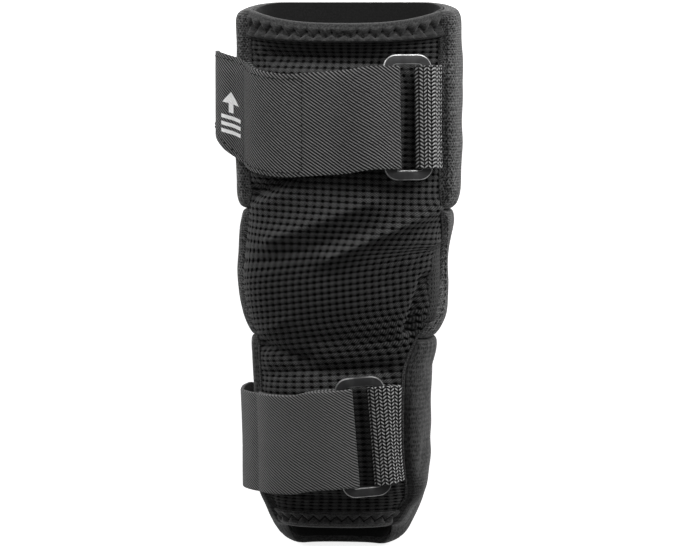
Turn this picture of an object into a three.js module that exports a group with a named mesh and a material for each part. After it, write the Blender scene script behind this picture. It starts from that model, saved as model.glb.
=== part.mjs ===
import * as THREE from 'three';

// Arm pad for a right arm, lying on its padded back with the mesh side up.
// Millimetres. +Y points to the shoulder, +X to the wearer's right, +Z out of the mesh side.

// Hollow that the arm goes through
const padLength = 282; // along the middle of the back
const armHalfWidth = 48;
const armBackDepth = 40; // from the widest line to the back
const armFrontDepth = 31; // from the widest line to the mesh
const sectionPower = 2.8; // 2 is an ellipse, more is squarer

// Foam blocks
const upperPadLength = 104;
const elbowPadLength = 65;
const upperSideFoam = 9;
const elbowSideFoam = 7.2;
const forearmSideFoam = 7.6;
const backFoam = 13;
const backSettle = 2.5; // the back's foam is pressed flat by this much where it rests
const creaseThickness = 4; // foam left where two blocks meet
const edgeThickness = 2.4; // foam left at the seam with the mesh
const edgeRoll = 9; // width of the rounded front edge
const endRound = 7;
const creaseRound = 11;

// Openings at the two ends
const shoulderSetback = 3.5; // the mesh side ends this much before the back
const shoulderSetbackReach = 30;
const wristSetback = 15;
const wristSetbackReach = 52;
const shoulderDip = 7; // the shoulder hem curves down in the middle

// Cloth
const linerThickness = 1.2;
const linerGap = 0.5;
const lipWidth = 4; // the knit turns inwards over the ends by this much
const meshThickness = 1.8;
const hemCloth = 1;
const shoulderHemWidth = 15;
const wristHemWidth = 10;
const gussetWidth = 26;

// Straps and rings
const strapWidth = 50.8;
const strapThickness = 1.8;
const webbingThickness = 1.6;
const ringLength = 62;
const ringWidth = 25;
const ringBar = 5;
const ringThickness = 1.8;
const ringCorner = 7;
const ringHoleCorner = 1.6;
const ringBevel = 0.35;
const loopSlack = 0.9; // play of a strap or webbing loop round its bar
const tabSetback = 6; // the webbing is sewn down this far inside the seam
const ringBlend = 26; // length over which a strap leaves the ring's plane for the arm's curve

// Play between pieces that touch
const gap = 0.3;
const seamGap = 0.5;
const strapPlay = 0.7; // straps and webbing over the mesh

// Steps of the surfaces
const backSteps = 18;
const frontSteps = 18;
const lengthStep = 9.5;
const elbowStep = 6.5;
const strapSteps = 13;
const tailSteps = 8;
const foldSteps = 5;
const gussetSteps = 5;
const acrossSteps = 3;

// Sections of the arm hollow, from the shoulder to the wrist.
// along is a share of padLength, shift and width of armHalfWidth, back and front of the two depths.
// left and right are how far the foam climbs past the widest line, in degrees.
const sections = [
  { along: 0, shift: 0.028, width: 1, back: 1, front: 0.83, left: 17, right: 24 },
  { along: 0.04, shift: 0.028, width: 1, back: 1, front: 0.84, left: 17, right: 24 },
  { along: 0.088, shift: 0.028, width: 1, back: 1, front: 0.8, left: 17, right: 24 },
  { along: 0.13, shift: 0.028, width: 1, back: 1, front: 0.97, left: 17, right: 24 },
  { along: 0.21, shift: 0.028, width: 1, back: 1, front: 1, left: 17, right: 24 },
  { along: 0.3, shift: 0.026, width: 1, back: 1, front: 1, left: 15, right: 22 },
  { along: 0.369, shift: 0.015, width: 0.99, back: 0.99, front: 1.03, left: 10, right: 16 },
  { along: 0.41, shift: -0.008, width: 0.99, back: 0.98, front: 1.03, left: 7, right: 4 },
  { along: 0.445, shift: -0.03, width: 0.99, back: 0.97, front: 1.02, left: 4, right: -3 },
  { along: 0.49, shift: -0.043, width: 1, back: 0.95, front: 1, left: 2, right: -6 },
  { along: 0.53, shift: -0.038, width: 0.985, back: 0.92, front: 0.97, left: 2, right: 0 },
  { along: 0.56, shift: -0.03, width: 0.955, back: 0.89, front: 0.93, left: 3, right: 13 },
  { along: 0.58, shift: -0.03, width: 0.915, back: 0.87, front: 0.9, left: 4, right: 26 },
  { along: 0.602, shift: -0.035, width: 0.865, back: 0.84, front: 0.86, left: 6, right: 34 },
  { along: 0.666, shift: -0.06, width: 0.81, back: 0.8, front: 0.86, left: 8, right: 40 },
  { along: 0.78, shift: -0.06, width: 0.785, back: 0.76, front: 0.82, left: 8, right: 39 },
  { along: 0.88, shift: -0.068, width: 0.775, back: 0.72, front: 0.76, left: 10, right: 32 },
  { along: 0.92, shift: -0.062, width: 0.735, back: 0.68, front: 0.68, left: 12, right: 28 },
  { along: 0.965, shift: -0.085, width: 0.64, back: 0.63, front: 0.62, left: 14, right: 25 },
  { along: 1, shift: -0.1, width: 0.56, back: 0.59, front: 0.58, left: 15, right: 25 },
];

// Folds and dents of the mesh, each along a straight line.
// x is a share of armHalfWidth, along of padLength, height of foldHeight and width of foldWidth.
const foldHeight = 3;
const foldWidth = 8;
const folds = [
  { fromX: 0.98, fromAlong: 0.36, toX: -0.14, toAlong: 0.452, height: 1, width: 0.7 },
  { fromX: 0.3, fromAlong: 0.35, toX: -0.7, toAlong: 0.42, height: 0.8, width: 1.1 },
  { fromX: -0.98, fromAlong: 0.34, toX: -0.5, toAlong: 0.3, height: -1.2, width: 0.9 },
  { fromX: 0.85, fromAlong: 0.49, toX: 0.68, toAlong: 0.58, height: -1.1, width: 0.6 },
  { fromX: -0.92, fromAlong: 0.61, toX: -0.5, toAlong: 0.63, height: -1, width: 0.8 },
];

// Gusset between the mesh and the elbow pad, on the right: width is a share of gussetWidth
const gussetRows = [
  { along: 0.43, width: 0.55 },
  { along: 0.465, width: 0.95 },
  { along: 0.5, width: 1 },
  { along: 0.535, width: 0.75 },
  { along: 0.57, width: 0.35 },
];

// Straps. Their along is a share of padLength. In tail, along is a share of tailTurn and lift of tailStandOff.
// In drift, along is a share of driftTurn, in degrees round the arm, and rise of driftRise.
const upperStrap = {
  name: 'upper_strap',
  ringName: 'upper_ring',
  tabName: 'upper_ring_tab',
  along: 0.202,
  ringAngle: 149,
  ringTurn: 0,
  tailStart: 246,
  tailTurn: 27,
  tailStandOff: 18,
  upperCorner: 11,
  lowerCorner: 36,
  tail: [
    { along: 0, lift: 0.3 },
    { along: 0.3, lift: 0.48 },
    { along: 0.58, lift: 0.8 },
    { along: 0.82, lift: 1 },
    { along: 1, lift: 0.97 },
  ],
  driftTurn: 160,
  driftRise: 9,
  drift: [
    { along: 0, rise: 0 },
    { along: 0.13, rise: -0.3 },
    { along: 0.27, rise: -0.46 },
    { along: 0.45, rise: -0.2 },
    { along: 0.56, rise: 0.33 },
    { along: 0.66, rise: 0.75 },
    { along: 0.75, rise: 1 },
  ],
};
const lowerStrap = {
  name: 'lower_strap',
  ringName: 'lower_ring',
  tabName: 'lower_ring_tab',
  along: 0.77,
  ringAngle: 162.5,
  ringTurn: 4.8,
  tailStart: 246,
  tailTurn: 58,
  tailStandOff: 13,
  upperCorner: 10,
  lowerCorner: 10,
  tail: [
    { along: 0, lift: 0.42 },
    { along: 0.22, lift: 0.7 },
    { along: 0.42, lift: 0.96 },
    { along: 0.62, lift: 1 },
    { along: 0.82, lift: 0.98 },
    { along: 1, lift: 0.95 },
  ],
  driftTurn: 120,
  driftRise: -6,
  drift: [
    { along: 0, rise: 0 },
    { along: 0.12, rise: 0.55 },
    { along: 0.24, rise: 0.9 },
    { along: 0.5, rise: 0.95 },
    { along: 0.8, rise: 0.85 },
    { along: 1, rise: 0.75 },
  ],
};

// Worked out from the sizes
const backLevel = backFoam - backSettle;
const meshTop = meshThickness + strapPlay;
const underLift = meshTop + strapThickness / 2;
const outerLift = underLift + strapThickness + gap;
const strapBarOffset = ringThickness / 2 + gap + strapThickness / 2;
const webbingBarOffset = ringThickness / 2 + gap + webbingThickness / 2;
const barCentre = (ringWidth - ringBar) / 2;

const radians = THREE.MathUtils.degToRad;
const { lerp, smoothstep } = THREE.MathUtils;

// Value of one column of a table at a share along it, smooth and without overshoot
function tableValue(table, column, at) {
  const lastSpan = table.length - 2;
  const next = table.findIndex((row) => row.along > at);
  const span = next < 0 ? lastSpan : Math.min(Math.max(next - 1, 0), lastSpan);
  const secant = (i) => {
    const j = Math.min(Math.max(i, 0), lastSpan);
    return (table[j + 1][column] - table[j][column]) / (table[j + 1].along - table[j].along);
  };
  const slope = (i) => {
    const before = secant(i - 1);
    const after = secant(i);
    return before * after <= 0 ? 0 : (2 * before * after) / (before + after);
  };
  const length = table[span + 1].along - table[span].along;
  const t = THREE.MathUtils.clamp((at - table[span].along) / length, 0, 1);
  const t2 = t * t;
  const t3 = t2 * t;
  return (
    (2 * t3 - 3 * t2 + 1) * table[span][column] +
    (t3 - 2 * t2 + t) * length * slope(span) +
    (3 * t2 - 2 * t3) * table[span + 1][column] +
    (t3 - t2) * length * slope(span + 1)
  );
}

function section(column, along) {
  return tableValue(sections, column, along / padLength);
}

function squared(value) {
  return Math.sign(value) * Math.abs(value) ** (2 / sectionPower);
}

// Quarter circle: 0 at 0, 1 from 1 on
function quarterRound(share) {
  const rest = 1 - THREE.MathUtils.clamp(share, 0, 1);
  return Math.sqrt(1 - rest * rest);
}

// Point at an angle round the arm, a lift off the hollow's wall and a length from the shoulder end.
// The angle is 0 at the middle of the back, 90 at the right side and 180 at the middle of the mesh.
function bodyPoint(angle, lift, along) {
  const turn = radians(angle);
  const backDepth = armBackDepth * section('back', along);
  const frontDepth = armFrontDepth * section('front', along);
  const depth = (Math.cos(turn) < 0 ? frontDepth : backDepth) + lift;
  const halfWidth = armHalfWidth * section('width', along) + lift;
  const towardsFront = smoothstep((1 - Math.cos(turn)) / 2, 0.1, 0.6);
  const middleOfFront = Math.max(-Math.cos(turn), 0) ** 2;
  const nearShoulder = 1 - smoothstep(along, 0, shoulderSetbackReach);
  const nearWrist = 1 - smoothstep(padLength - along, 0, wristSetbackReach);
  const shoulderDrop = nearShoulder * (shoulderSetback * towardsFront + shoulderDip * middleOfFront);
  return new THREE.Vector3(
    armHalfWidth * section('shift', along) + halfWidth * squared(Math.sin(turn)),
    padLength / 2 - along - shoulderDrop + nearWrist * wristSetback * towardsFront,
    Math.max(backLevel + backDepth - depth * squared(Math.cos(turn)), 0),
  );
}

function rightEdge(along) {
  return 90 + section('right', along);
}

function leftEdge(along) {
  return 270 - section('left', along);
}

// Degrees that a length takes round the side of the arm
function degreesFor(length, along) {
  return THREE.MathUtils.radToDeg(length / (armHalfWidth * section('width', along)));
}

// Closed solid between two grids of points, given row by row
function shellBetween(outer, inner) {
  const rows = outer.length;
  const columns = outer[0].length;
  const points = [...outer.flat(), ...inner.flat()];
  const innerStart = rows * columns;
  const at = (side, row, column) => side * innerStart + row * columns + column;
  const index = [];
  const quad = (a, b, c, d) => index.push(a, b, c, a, c, d);
  for (let r = 0; r < rows - 1; r += 1) {
    for (let c = 0; c < columns - 1; c += 1) {
      quad(at(0, r, c), at(0, r, c + 1), at(0, r + 1, c + 1), at(0, r + 1, c));
      quad(at(1, r, c), at(1, r + 1, c), at(1, r + 1, c + 1), at(1, r, c + 1));
    }
  }
  for (let c = 0; c < columns - 1; c += 1) {
    quad(at(0, 0, c + 1), at(0, 0, c), at(1, 0, c), at(1, 0, c + 1));
    quad(at(0, rows - 1, c), at(0, rows - 1, c + 1), at(1, rows - 1, c + 1), at(1, rows - 1, c));
  }
  for (let r = 0; r < rows - 1; r += 1) {
    quad(at(0, r, 0), at(0, r + 1, 0), at(1, r + 1, 0), at(1, r, 0));
    quad(at(0, r + 1, columns - 1), at(0, r, columns - 1), at(1, r, columns - 1), at(1, r + 1, columns - 1));
  }
  return solidFrom(points, index);
}

// Tube of a closed section: each ring of points joins the next, and the ends are fans
function sweptSolid(rings) {
  const count = rings[0].length;
  const index = [];
  for (let r = 0; r < rings.length - 1; r += 1) {
    for (let c = 0; c < count; c += 1) {
      const a = r * count + c;
      const b = r * count + ((c + 1) % count);
      index.push(a, b, b + count, a, b + count, a + count);
    }
  }
  const endFaces = THREE.ShapeUtils.triangulateShape(rings.outline, []);
  const lastRing = (rings.length - 1) * count;
  for (const [a, b, c] of endFaces) {
    index.push(c, b, a, lastRing + a, lastRing + b, lastRing + c);
  }
  return solidFrom(rings.flat(), index);
}

// Geometry with its faces turned outwards
function solidFrom(points, index) {
  let volume = 0;
  const crossed = new THREE.Vector3();
  for (let i = 0; i < index.length; i += 3) {
    crossed.crossVectors(points[index[i + 1]], points[index[i + 2]]);
    volume += points[index[i]].dot(crossed);
  }
  if (volume < 0) {
    index.reverse();
  }
  const geometry = new THREE.BufferGeometry().setFromPoints(points);
  geometry.setIndex(index);
  geometry.computeVertexNormals();
  return geometry;
}

function cloth(color, roughness) {
  return new THREE.MeshStandardMaterial({ color, roughness, metalness: 0 });
}
const knitMaterial = cloth(0x1c1d20, 0.9);
const linerMaterial = cloth(0x2a2b2e, 0.8);
const meshMaterial = cloth(0x131416, 0.85);
const hemMaterial = cloth(0x202124, 0.85);
const elasticMaterial = cloth(0x303134, 0.8);
const webbingMaterial = cloth(0x26272a, 0.75);
const ringMaterial = new THREE.MeshStandardMaterial({ color: 0x2b2d31, roughness: 0.35, metalness: 0.8 });

const armPad = new THREE.Group();

function addPiece(name, geometry, material) {
  const piece = new THREE.Mesh(geometry, material);
  piece.name = name;
  armPad.add(piece);
  return piece;
}

// Evenly spaced lengths from one to another, no further apart than the step
function evenSteps(from, to, step) {
  const count = Math.max(Math.round((to - from) / step), 1);
  return Array.from({ length: count + 1 }, (_, i) => lerp(from, to, i / count));
}

// Lengths at which a foam block has a section, closer together where its ends are rounded
function blockLengths({ from, to, fromRound, toRound, step }) {
  const roundShares = [0, 0.1, 0.4];
  return [
    ...roundShares.map((share) => from + share * fromRound),
    ...evenSteps(from + fromRound, to - toRound, step),
    ...roundShares.map((share) => to - share * toRound).reverse(),
  ];
}

// A foam block: full thickness in the middle, rounded off at its ends and front edges
function foamBlock(block) {
  const { name, from, to, sideFoam, fromRound, toRound } = block;
  const outer = [];
  const inner = [];
  for (const along of blockLengths(block)) {
    const right = rightEdge(along);
    const left = leftEdge(along) - 360;
    const endShare = quarterRound((along - from) / fromRound) * quarterRound((to - along) / toRound);
    const outerRow = [];
    const innerRow = [];
    for (let i = 0; i <= backSteps; i += 1) {
      const angle = lerp(left, right, i / backSteps);
      const fromEdge = Math.min(angle - left, right - angle) / degreesFor(edgeRoll, along);
      const full = lerp(sideFoam, backFoam, smoothstep(Math.cos(radians(angle)), 0.2, 0.9));
      const crease = lerp(creaseThickness, full, endShare);
      const thickness = lerp(edgeThickness, crease, quarterRound(fromEdge));
      outerRow.push(bodyPoint(angle, thickness, along));
      innerRow.push(bodyPoint(angle, 0, along));
    }
    outer.push(outerRow);
    inner.push(innerRow);
  }
  addPiece(name, shellBetween(outer, inner), knitMaterial);
}

const elbowStart = upperPadLength;
const forearmStart = elbowStart + elbowPadLength;
const blocks = [
  {
    name: 'upper_arm_pad',
    from: 0,
    to: elbowStart - gap,
    sideFoam: upperSideFoam,
    fromRound: endRound,
    toRound: creaseRound,
    step: lengthStep,
  },
  {
    name: 'elbow_pad',
    from: elbowStart,
    to: forearmStart - gap,
    sideFoam: elbowSideFoam,
    fromRound: creaseRound,
    toRound: creaseRound,
    step: elbowStep,
  },
  {
    name: 'forearm_pad',
    from: forearmStart,
    to: padLength,
    sideFoam: forearmSideFoam,
    fromRound: creaseRound,
    toRound: endRound,
    step: lengthStep,
  },
];
blocks.forEach(foamBlock);
const allLengths = blocks.flatMap(blockLengths);

// Liner inside the foam blocks
function liner() {
  const outer = [];
  const inner = [];
  const lengths = blocks.flatMap(({ from, to, fromRound, toRound, step }) => [
    Math.max(from, lipWidth),
    ...evenSteps(from + fromRound, to - toRound, 2 * step),
  ]);
  for (const along of [...lengths, padLength - lipWidth]) {
    const outerRow = [];
    const innerRow = [];
    const inset = degreesFor(linerGap, along);
    for (let i = 0; i <= backSteps; i += 1) {
      const angle = lerp(leftEdge(along) - 360 + inset, rightEdge(along) - inset, i / backSteps);
      outerRow.push(bodyPoint(angle, -linerGap, along));
      innerRow.push(bodyPoint(angle, -linerGap - linerThickness, along));
    }
    outer.push(outerRow);
    inner.push(innerRow);
  }
  addPiece('liner', shellBetween(outer, inner), linerMaterial);
}
liner();

// Height of the folds at a point of the mesh
function foldLift(x, along) {
  let lift = 0;
  for (const fold of folds) {
    const start = new THREE.Vector2(fold.fromX * armHalfWidth, fold.fromAlong * padLength);
    const line = new THREE.Vector2(fold.toX * armHalfWidth, fold.toAlong * padLength).sub(start);
    const offset = new THREE.Vector2(x, along).sub(start);
    const share = THREE.MathUtils.clamp(offset.dot(line) / line.lengthSq(), 0, 1);
    const distance = offset.addScaledVector(line, -share).length() / (fold.width * foldWidth);
    lift += fold.height * foldHeight * Math.exp(-distance * distance);
  }
  return lift;
}

// Width of the gusset at a length, 0 where there is none
function gussetAt(along) {
  const share = along / padLength;
  const first = gussetRows[0].along;
  const last = gussetRows[gussetRows.length - 1].along;
  return share < first || share > last ? 0 : gussetWidth * tableValue(gussetRows, 'width', share);
}

function meshSheet(name, lengths, startAt, endAt, steps) {
  const outer = [];
  const inner = [];
  for (const along of lengths) {
    const outerRow = [];
    const innerRow = [];
    const right = rightEdge(along);
    const left = leftEdge(along);
    for (let i = 0; i <= steps; i += 1) {
      const angle = lerp(startAt(along), endAt(along), i / steps);
      const flat = bodyPoint(angle, 0, along);
      const fromSeam = Math.min(angle - right, left - angle) / degreesFor(edgeRoll, along);
      const lift = foldLift(flat.x, along) * smoothstep(fromSeam, 0, 1);
      outerRow.push(bodyPoint(angle, lift + meshThickness, along));
      innerRow.push(bodyPoint(angle, lift, along));
    }
    outer.push(outerRow);
    inner.push(innerRow);
  }
  addPiece(name, shellBetween(outer, inner), meshMaterial);
}

const afterSeam = (along) => rightEdge(along) + degreesFor(seamGap, along);
const beforeLeftSeam = (along) => leftEdge(along) - degreesFor(seamGap, along);
const afterGusset = (along) => afterSeam(along) + degreesFor(gussetAt(along), along);
const gussetEnd = (along) => afterGusset(along) - degreesFor(seamGap, along);
const hemFold = hemCloth + gap;

meshSheet(
  'mesh_panel',
  [
    hemFold,
    shoulderHemWidth,
    ...allLengths.filter((along) => along > shoulderHemWidth && along < padLength - wristHemWidth),
    padLength - wristHemWidth,
    padLength - hemFold,
  ],
  afterGusset,
  beforeLeftSeam,
  frontSteps,
);
meshSheet(
  'elbow_gusset',
  allLengths.filter((along) => gussetAt(along) > 0),
  afterSeam,
  gussetEnd,
  gussetSteps,
);

// Cloth folded over an end of the mesh: end is the folded edge, and the band runs to the other length
function hem(name, end, to) {
  const towards = Math.sign(to - end);
  const outside = meshThickness + gap;
  const outline = [
    [end, -gap - hemCloth],
    [to, -gap - hemCloth],
    [to, -gap],
    [end + towards * hemCloth, -gap],
    [end + towards * hemCloth, outside],
    [to, outside],
    [to, outside + hemCloth],
    [end, outside + hemCloth],
  ];
  if (towards < 0) {
    outline.reverse();
  }
  const rings = [];
  for (let i = 0; i <= frontSteps; i += 1) {
    rings.push(
      outline.map(([along, lift]) => {
        const angle = lerp(afterSeam(along), beforeLeftSeam(along), i / frontSteps);
        return bodyPoint(angle, lift, along);
      }),
    );
  }
  rings.outline = outline.map(([along, lift]) => new THREE.Vector2(along, lift));
  addPiece(name, sweptSolid(rings), hemMaterial);
}
hem('shoulder_hem', 0, shoulderHemWidth);
hem('wrist_hem', padLength, padLength - wristHemWidth);

function placeOf(sizes) {
  return sizes.along * padLength;
}

// Plane of a ring: right points to the ring's seam, up to the shoulder and out off the arm
function ringFrame(sizes) {
  const { ringAngle, ringTurn } = sizes;
  const along = placeOf(sizes);
  const reach = ringWidth / 2;
  const spread = degreesFor(reach, along);
  const at = (turn, shift) => bodyPoint(ringAngle + turn, underLift, along - shift);
  const right = at(-spread, 0).sub(at(spread, 0)).normalize();
  const up = at(0, strapWidth / 2).sub(at(0, -strapWidth / 2));
  const out = new THREE.Vector3().crossVectors(right, up).normalize();
  right.applyAxisAngle(out, radians(ringTurn));
  up.crossVectors(out, right);
  // The ring lies on the highest part of the arm's curve under it
  const centre = at(spread, 0).add(at(-spread, 0)).multiplyScalar(0.5);
  let rise = 0;
  for (const turn of [-1, -0.5, 0, 0.5, 1]) {
    for (const shift of [-0.5, 0, 0.5]) {
      const under = at(turn * spread, shift * strapWidth).sub(centre);
      rise = Math.max(rise, under.dot(out));
    }
  }
  centre.addScaledVector(out, strapBarOffset + rise);
  const point = (u, v, h) =>
    centre.clone().addScaledVector(right, u).addScaledVector(up, v).addScaledVector(out, h);
  return { point, right, up, out, centre };
}

function ringShape() {
  const rounded = (shape, width, length, corner) => {
    const x = width / 2 - corner;
    const y = length / 2 - corner;
    shape.absarc(x, y, corner, 0, Math.PI / 2);
    shape.absarc(-x, y, corner, Math.PI / 2, Math.PI);
    shape.absarc(-x, -y, corner, Math.PI, 1.5 * Math.PI);
    shape.absarc(x, -y, corner, 1.5 * Math.PI, 2 * Math.PI);
    shape.closePath();
    return shape;
  };
  const inset = 2 * ringBevel;
  const shape = rounded(new THREE.Shape(), ringWidth - inset, ringLength - inset, ringCorner - ringBevel);
  const holeWidth = ringWidth - 2 * ringBar + inset;
  const holeLength = ringLength - 2 * ringBar + inset;
  shape.holes.push(rounded(new THREE.Path(), holeWidth, holeLength, ringHoleCorner + ringBevel));
  return shape;
}

function ring(strap) {
  const geometry = new THREE.ExtrudeGeometry(ringShape(), {
    depth: ringThickness - 2 * ringBevel,
    bevelThickness: ringBevel,
    bevelSize: ringBevel,
    bevelSegments: 1,
    curveSegments: 4,
  });
  geometry.translate(0, 0, -ringThickness / 2 + ringBevel);
  const { right, up, out, centre } = ringFrame(strap);
  const piece = addPiece(strap.ringName, geometry, ringMaterial);
  piece.quaternion.setFromRotationMatrix(new THREE.Matrix4().makeBasis(right, up, out));
  piece.position.copy(centre);
}

// Band that follows a list of stations, each giving a point for a distance across the band
function band(name, stations, thickness, material) {
  const middle = stations.map((station) => station.at(0));
  const remaining = new Array(stations.length).fill(0);
  for (let i = stations.length - 2; i >= 0; i -= 1) {
    remaining[i] = remaining[i + 1] + middle[i].distanceTo(middle[i + 1]);
  }
  const outer = [];
  const inner = [];
  stations.forEach((station, i) => {
    const before = stations[Math.max(i - 1, 0)];
    const after = stations[Math.min(i + 1, stations.length - 1)];
    const { upper, lower } = station.edges(remaining[i]);
    const outerRow = [];
    const innerRow = [];
    for (let j = 0; j <= acrossSteps; j += 1) {
      const v = lerp(-lower, upper, j / acrossSteps);
      const ahead = after.at(v).sub(before.at(v));
      const across = station.at(v + 1).sub(station.at(v - 1));
      const normal = ahead.cross(across).normalize();
      outerRow.push(station.at(v).addScaledVector(normal, thickness / 2));
      innerRow.push(station.at(v).addScaledVector(normal, -thickness / 2));
    }
    outer.push(outerRow);
    inner.push(innerRow);
  });
  addPiece(name, shellBetween(outer, inner), material);
}

// Half circle round the end of a bar: side is 1 for the right of the left bar, -1 for the left of the right one
function foldStations(frame, side, offset) {
  const centre = -side * (barCentre - ringBar / 2) + side * loopSlack;
  return Array.from({ length: foldSteps + 1 }, (_, i) => {
    const turn = Math.PI * (i / foldSteps - 0.5);
    const u = centre + side * offset * Math.cos(turn);
    const h = offset * Math.sin(turn);
    return { at: (v) => frame.point(u, v, h) };
  });
}

function strap(sizes) {
  const frame = ringFrame(sizes);
  const place = placeOf(sizes);
  const barAngle = sizes.ringAngle + degreesFor(barCentre, place);
  const seamAngle = beforeLeftSeam(place);
  const barBody = bodyPoint(barAngle, underLift, place);
  // A station of one layer: in the ring's plane near the bar, on the arm's curve further away
  const layerStation = (angle, lift, height) => {
    const distance = bodyPoint(angle, underLift, place).distanceTo(barBody);
    const onArm = smoothstep(distance, ringBar, ringBlend);
    const travelled = degreesBetween(barAngle, angle) / sizes.driftTurn;
    const line = place - sizes.driftRise * tableValue(sizes.drift, 'rise', travelled);
    const lineAcross = bodyPoint(angle, lift, line).y;
    const onCurve = (v) => bodyPoint(angle, lift, line - v).setY(lineAcross + v);
    return { at: (v) => frame.point(-barCentre - distance, v, height).lerp(onCurve(v), onArm) };
  };
  const under = [];
  const over = [];
  for (let i = 1; i <= strapSteps; i += 1) {
    const underAngle = lerp(barAngle, seamAngle - degreesFor(edgeRoll / 2, place), i / strapSteps);
    under.unshift(layerStation(underAngle, underLift, -strapBarOffset));
    const overAngle = lerp(barAngle, sizes.tailStart, i / strapSteps);
    over.push(layerStation(overAngle, outerLift, strapBarOffset));
  }
  for (let i = 1; i <= tailSteps; i += 1) {
    const share = i / tailSteps;
    const lift = sizes.tailStandOff * tableValue(sizes.tail, 'lift', share);
    over.push(layerStation(sizes.tailStart + share * sizes.tailTurn, lift, strapBarOffset));
  }
  const half = strapWidth / 2;
  const cornered = (radius, remaining) => half - radius * (1 - quarterRound((remaining + gap) / radius));
  const stations = [...under, ...foldStations(frame, 1, strapBarOffset), ...over];
  for (const station of stations) {
    station.edges = (remaining) => ({
      upper: cornered(sizes.upperCorner, remaining),
      lower: cornered(sizes.lowerCorner, remaining),
    });
  }
  band(sizes.name, stations, strapThickness, elasticMaterial);
}

function degreesBetween(from, to) {
  return Math.abs(to - from);
}

// Webbing loop round the ring's right bar, its two ends sewn at the right seam
function ringTab(sizes) {
  const frame = ringFrame(sizes);
  const pastBar = ringWidth / 2 + gap;
  const barEdge = pastBar - ringBar;
  const layer = (height, lift) => [
    { at: (v) => frame.point(lerp(barEdge, pastBar, 0.5), v, height) },
    { at: (v) => frame.point(pastBar, v, height) },
    ...[0.4, 1].map((share) => ({
      at: (v) => {
        const along = placeOf(sizes) - v;
        const seam = bodyPoint(afterSeam(along) + degreesFor(tabSetback, along), lift, along);
        return frame.point(pastBar, v, height).lerp(seam, share);
      },
    })),
  ];
  const lowerLift = meshTop + webbingThickness / 2;
  const upperLift = lowerLift + webbingThickness + gap;
  const stations = [
    ...layer(-webbingBarOffset, lowerLift).reverse(),
    ...foldStations(frame, -1, webbingBarOffset),
    ...layer(webbingBarOffset, upperLift),
  ];
  for (const station of stations) {
    station.edges = () => ({ upper: strapWidth / 2, lower: strapWidth / 2 });
  }
  band(sizes.tabName, stations, webbingThickness, webbingMaterial);
}

for (const sizes of [upperStrap, lowerStrap]) {
  strap(sizes);
  ring(sizes);
  ringTab(sizes);
}

// The origin is under the middle of the pad, on the surface that it lies on
const bounds = new THREE.Box3().setFromObject(armPad);
const middle = bounds.getCenter(new THREE.Vector3());
armPad.position.set(-middle.x, -middle.y, -bounds.min.z);
const placed = new THREE.Group();
placed.add(armPad);

export default placed;
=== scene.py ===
import math

import bpy
import numpy as np
from mathutils import Matrix, Vector


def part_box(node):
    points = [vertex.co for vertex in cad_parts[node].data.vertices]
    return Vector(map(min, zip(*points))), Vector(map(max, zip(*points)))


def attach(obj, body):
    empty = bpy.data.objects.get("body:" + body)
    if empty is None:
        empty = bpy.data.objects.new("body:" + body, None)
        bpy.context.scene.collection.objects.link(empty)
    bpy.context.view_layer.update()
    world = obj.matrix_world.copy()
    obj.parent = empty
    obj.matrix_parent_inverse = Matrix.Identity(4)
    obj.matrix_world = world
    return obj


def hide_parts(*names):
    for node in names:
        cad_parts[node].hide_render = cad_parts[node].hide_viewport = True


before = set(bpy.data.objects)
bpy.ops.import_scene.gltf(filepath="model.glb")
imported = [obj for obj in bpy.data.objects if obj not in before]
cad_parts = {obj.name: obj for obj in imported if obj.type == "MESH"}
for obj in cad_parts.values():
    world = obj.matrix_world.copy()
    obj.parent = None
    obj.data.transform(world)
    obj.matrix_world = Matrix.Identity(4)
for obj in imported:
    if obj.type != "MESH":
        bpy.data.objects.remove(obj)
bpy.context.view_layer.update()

mm = 0.001

# the arm that every piece lies on, in millimetres
armShape = {
    "length": 282, "halfWidth": 48, "backDepth": 40, "frontDepth": 31, "power": 2.8,
    "backLevel": 10.5,  # height of the hollow over the floor
    "shoulderSetback": 3.5, "shoulderReach": 30, "shoulderDip": 7,
    "wristSetback": 15, "wristReach": 52,
}
sectionNames = ("along", "shift", "width", "back", "front", "left", "right")
sectionRows = (
    (0, 0.028, 1, 1, 0.83, 17, 24),
    (0.04, 0.028, 1, 1, 0.84, 17, 24),
    (0.088, 0.028, 1, 1, 0.8, 17, 24),
    (0.13, 0.028, 1, 1, 0.97, 17, 24),
    (0.21, 0.028, 1, 1, 1, 17, 24),
    (0.3, 0.026, 1, 1, 1, 15, 22),
    (0.369, 0.015, 0.99, 0.99, 1.03, 10, 16),
    (0.41, -0.008, 0.99, 0.98, 1.03, 7, 4),
    (0.445, -0.03, 0.99, 0.97, 1.02, 4, -3),
    (0.49, -0.043, 1, 0.95, 1, 2, -6),
    (0.53, -0.038, 0.985, 0.92, 0.97, 2, 0),
    (0.56, -0.03, 0.955, 0.89, 0.93, 3, 13),
    (0.58, -0.03, 0.915, 0.87, 0.9, 4, 26),
    (0.602, -0.035, 0.865, 0.84, 0.86, 6, 34),
    (0.666, -0.06, 0.81, 0.8, 0.86, 8, 40),
    (0.78, -0.06, 0.785, 0.76, 0.82, 8, 39),
    (0.88, -0.068, 0.775, 0.72, 0.76, 10, 32),
    (0.92, -0.062, 0.735, 0.68, 0.68, 12, 28),
    (0.965, -0.085, 0.64, 0.63, 0.62, 14, 25),
    (1, -0.1, 0.56, 0.59, 0.58, 15, 25),
)


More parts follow.
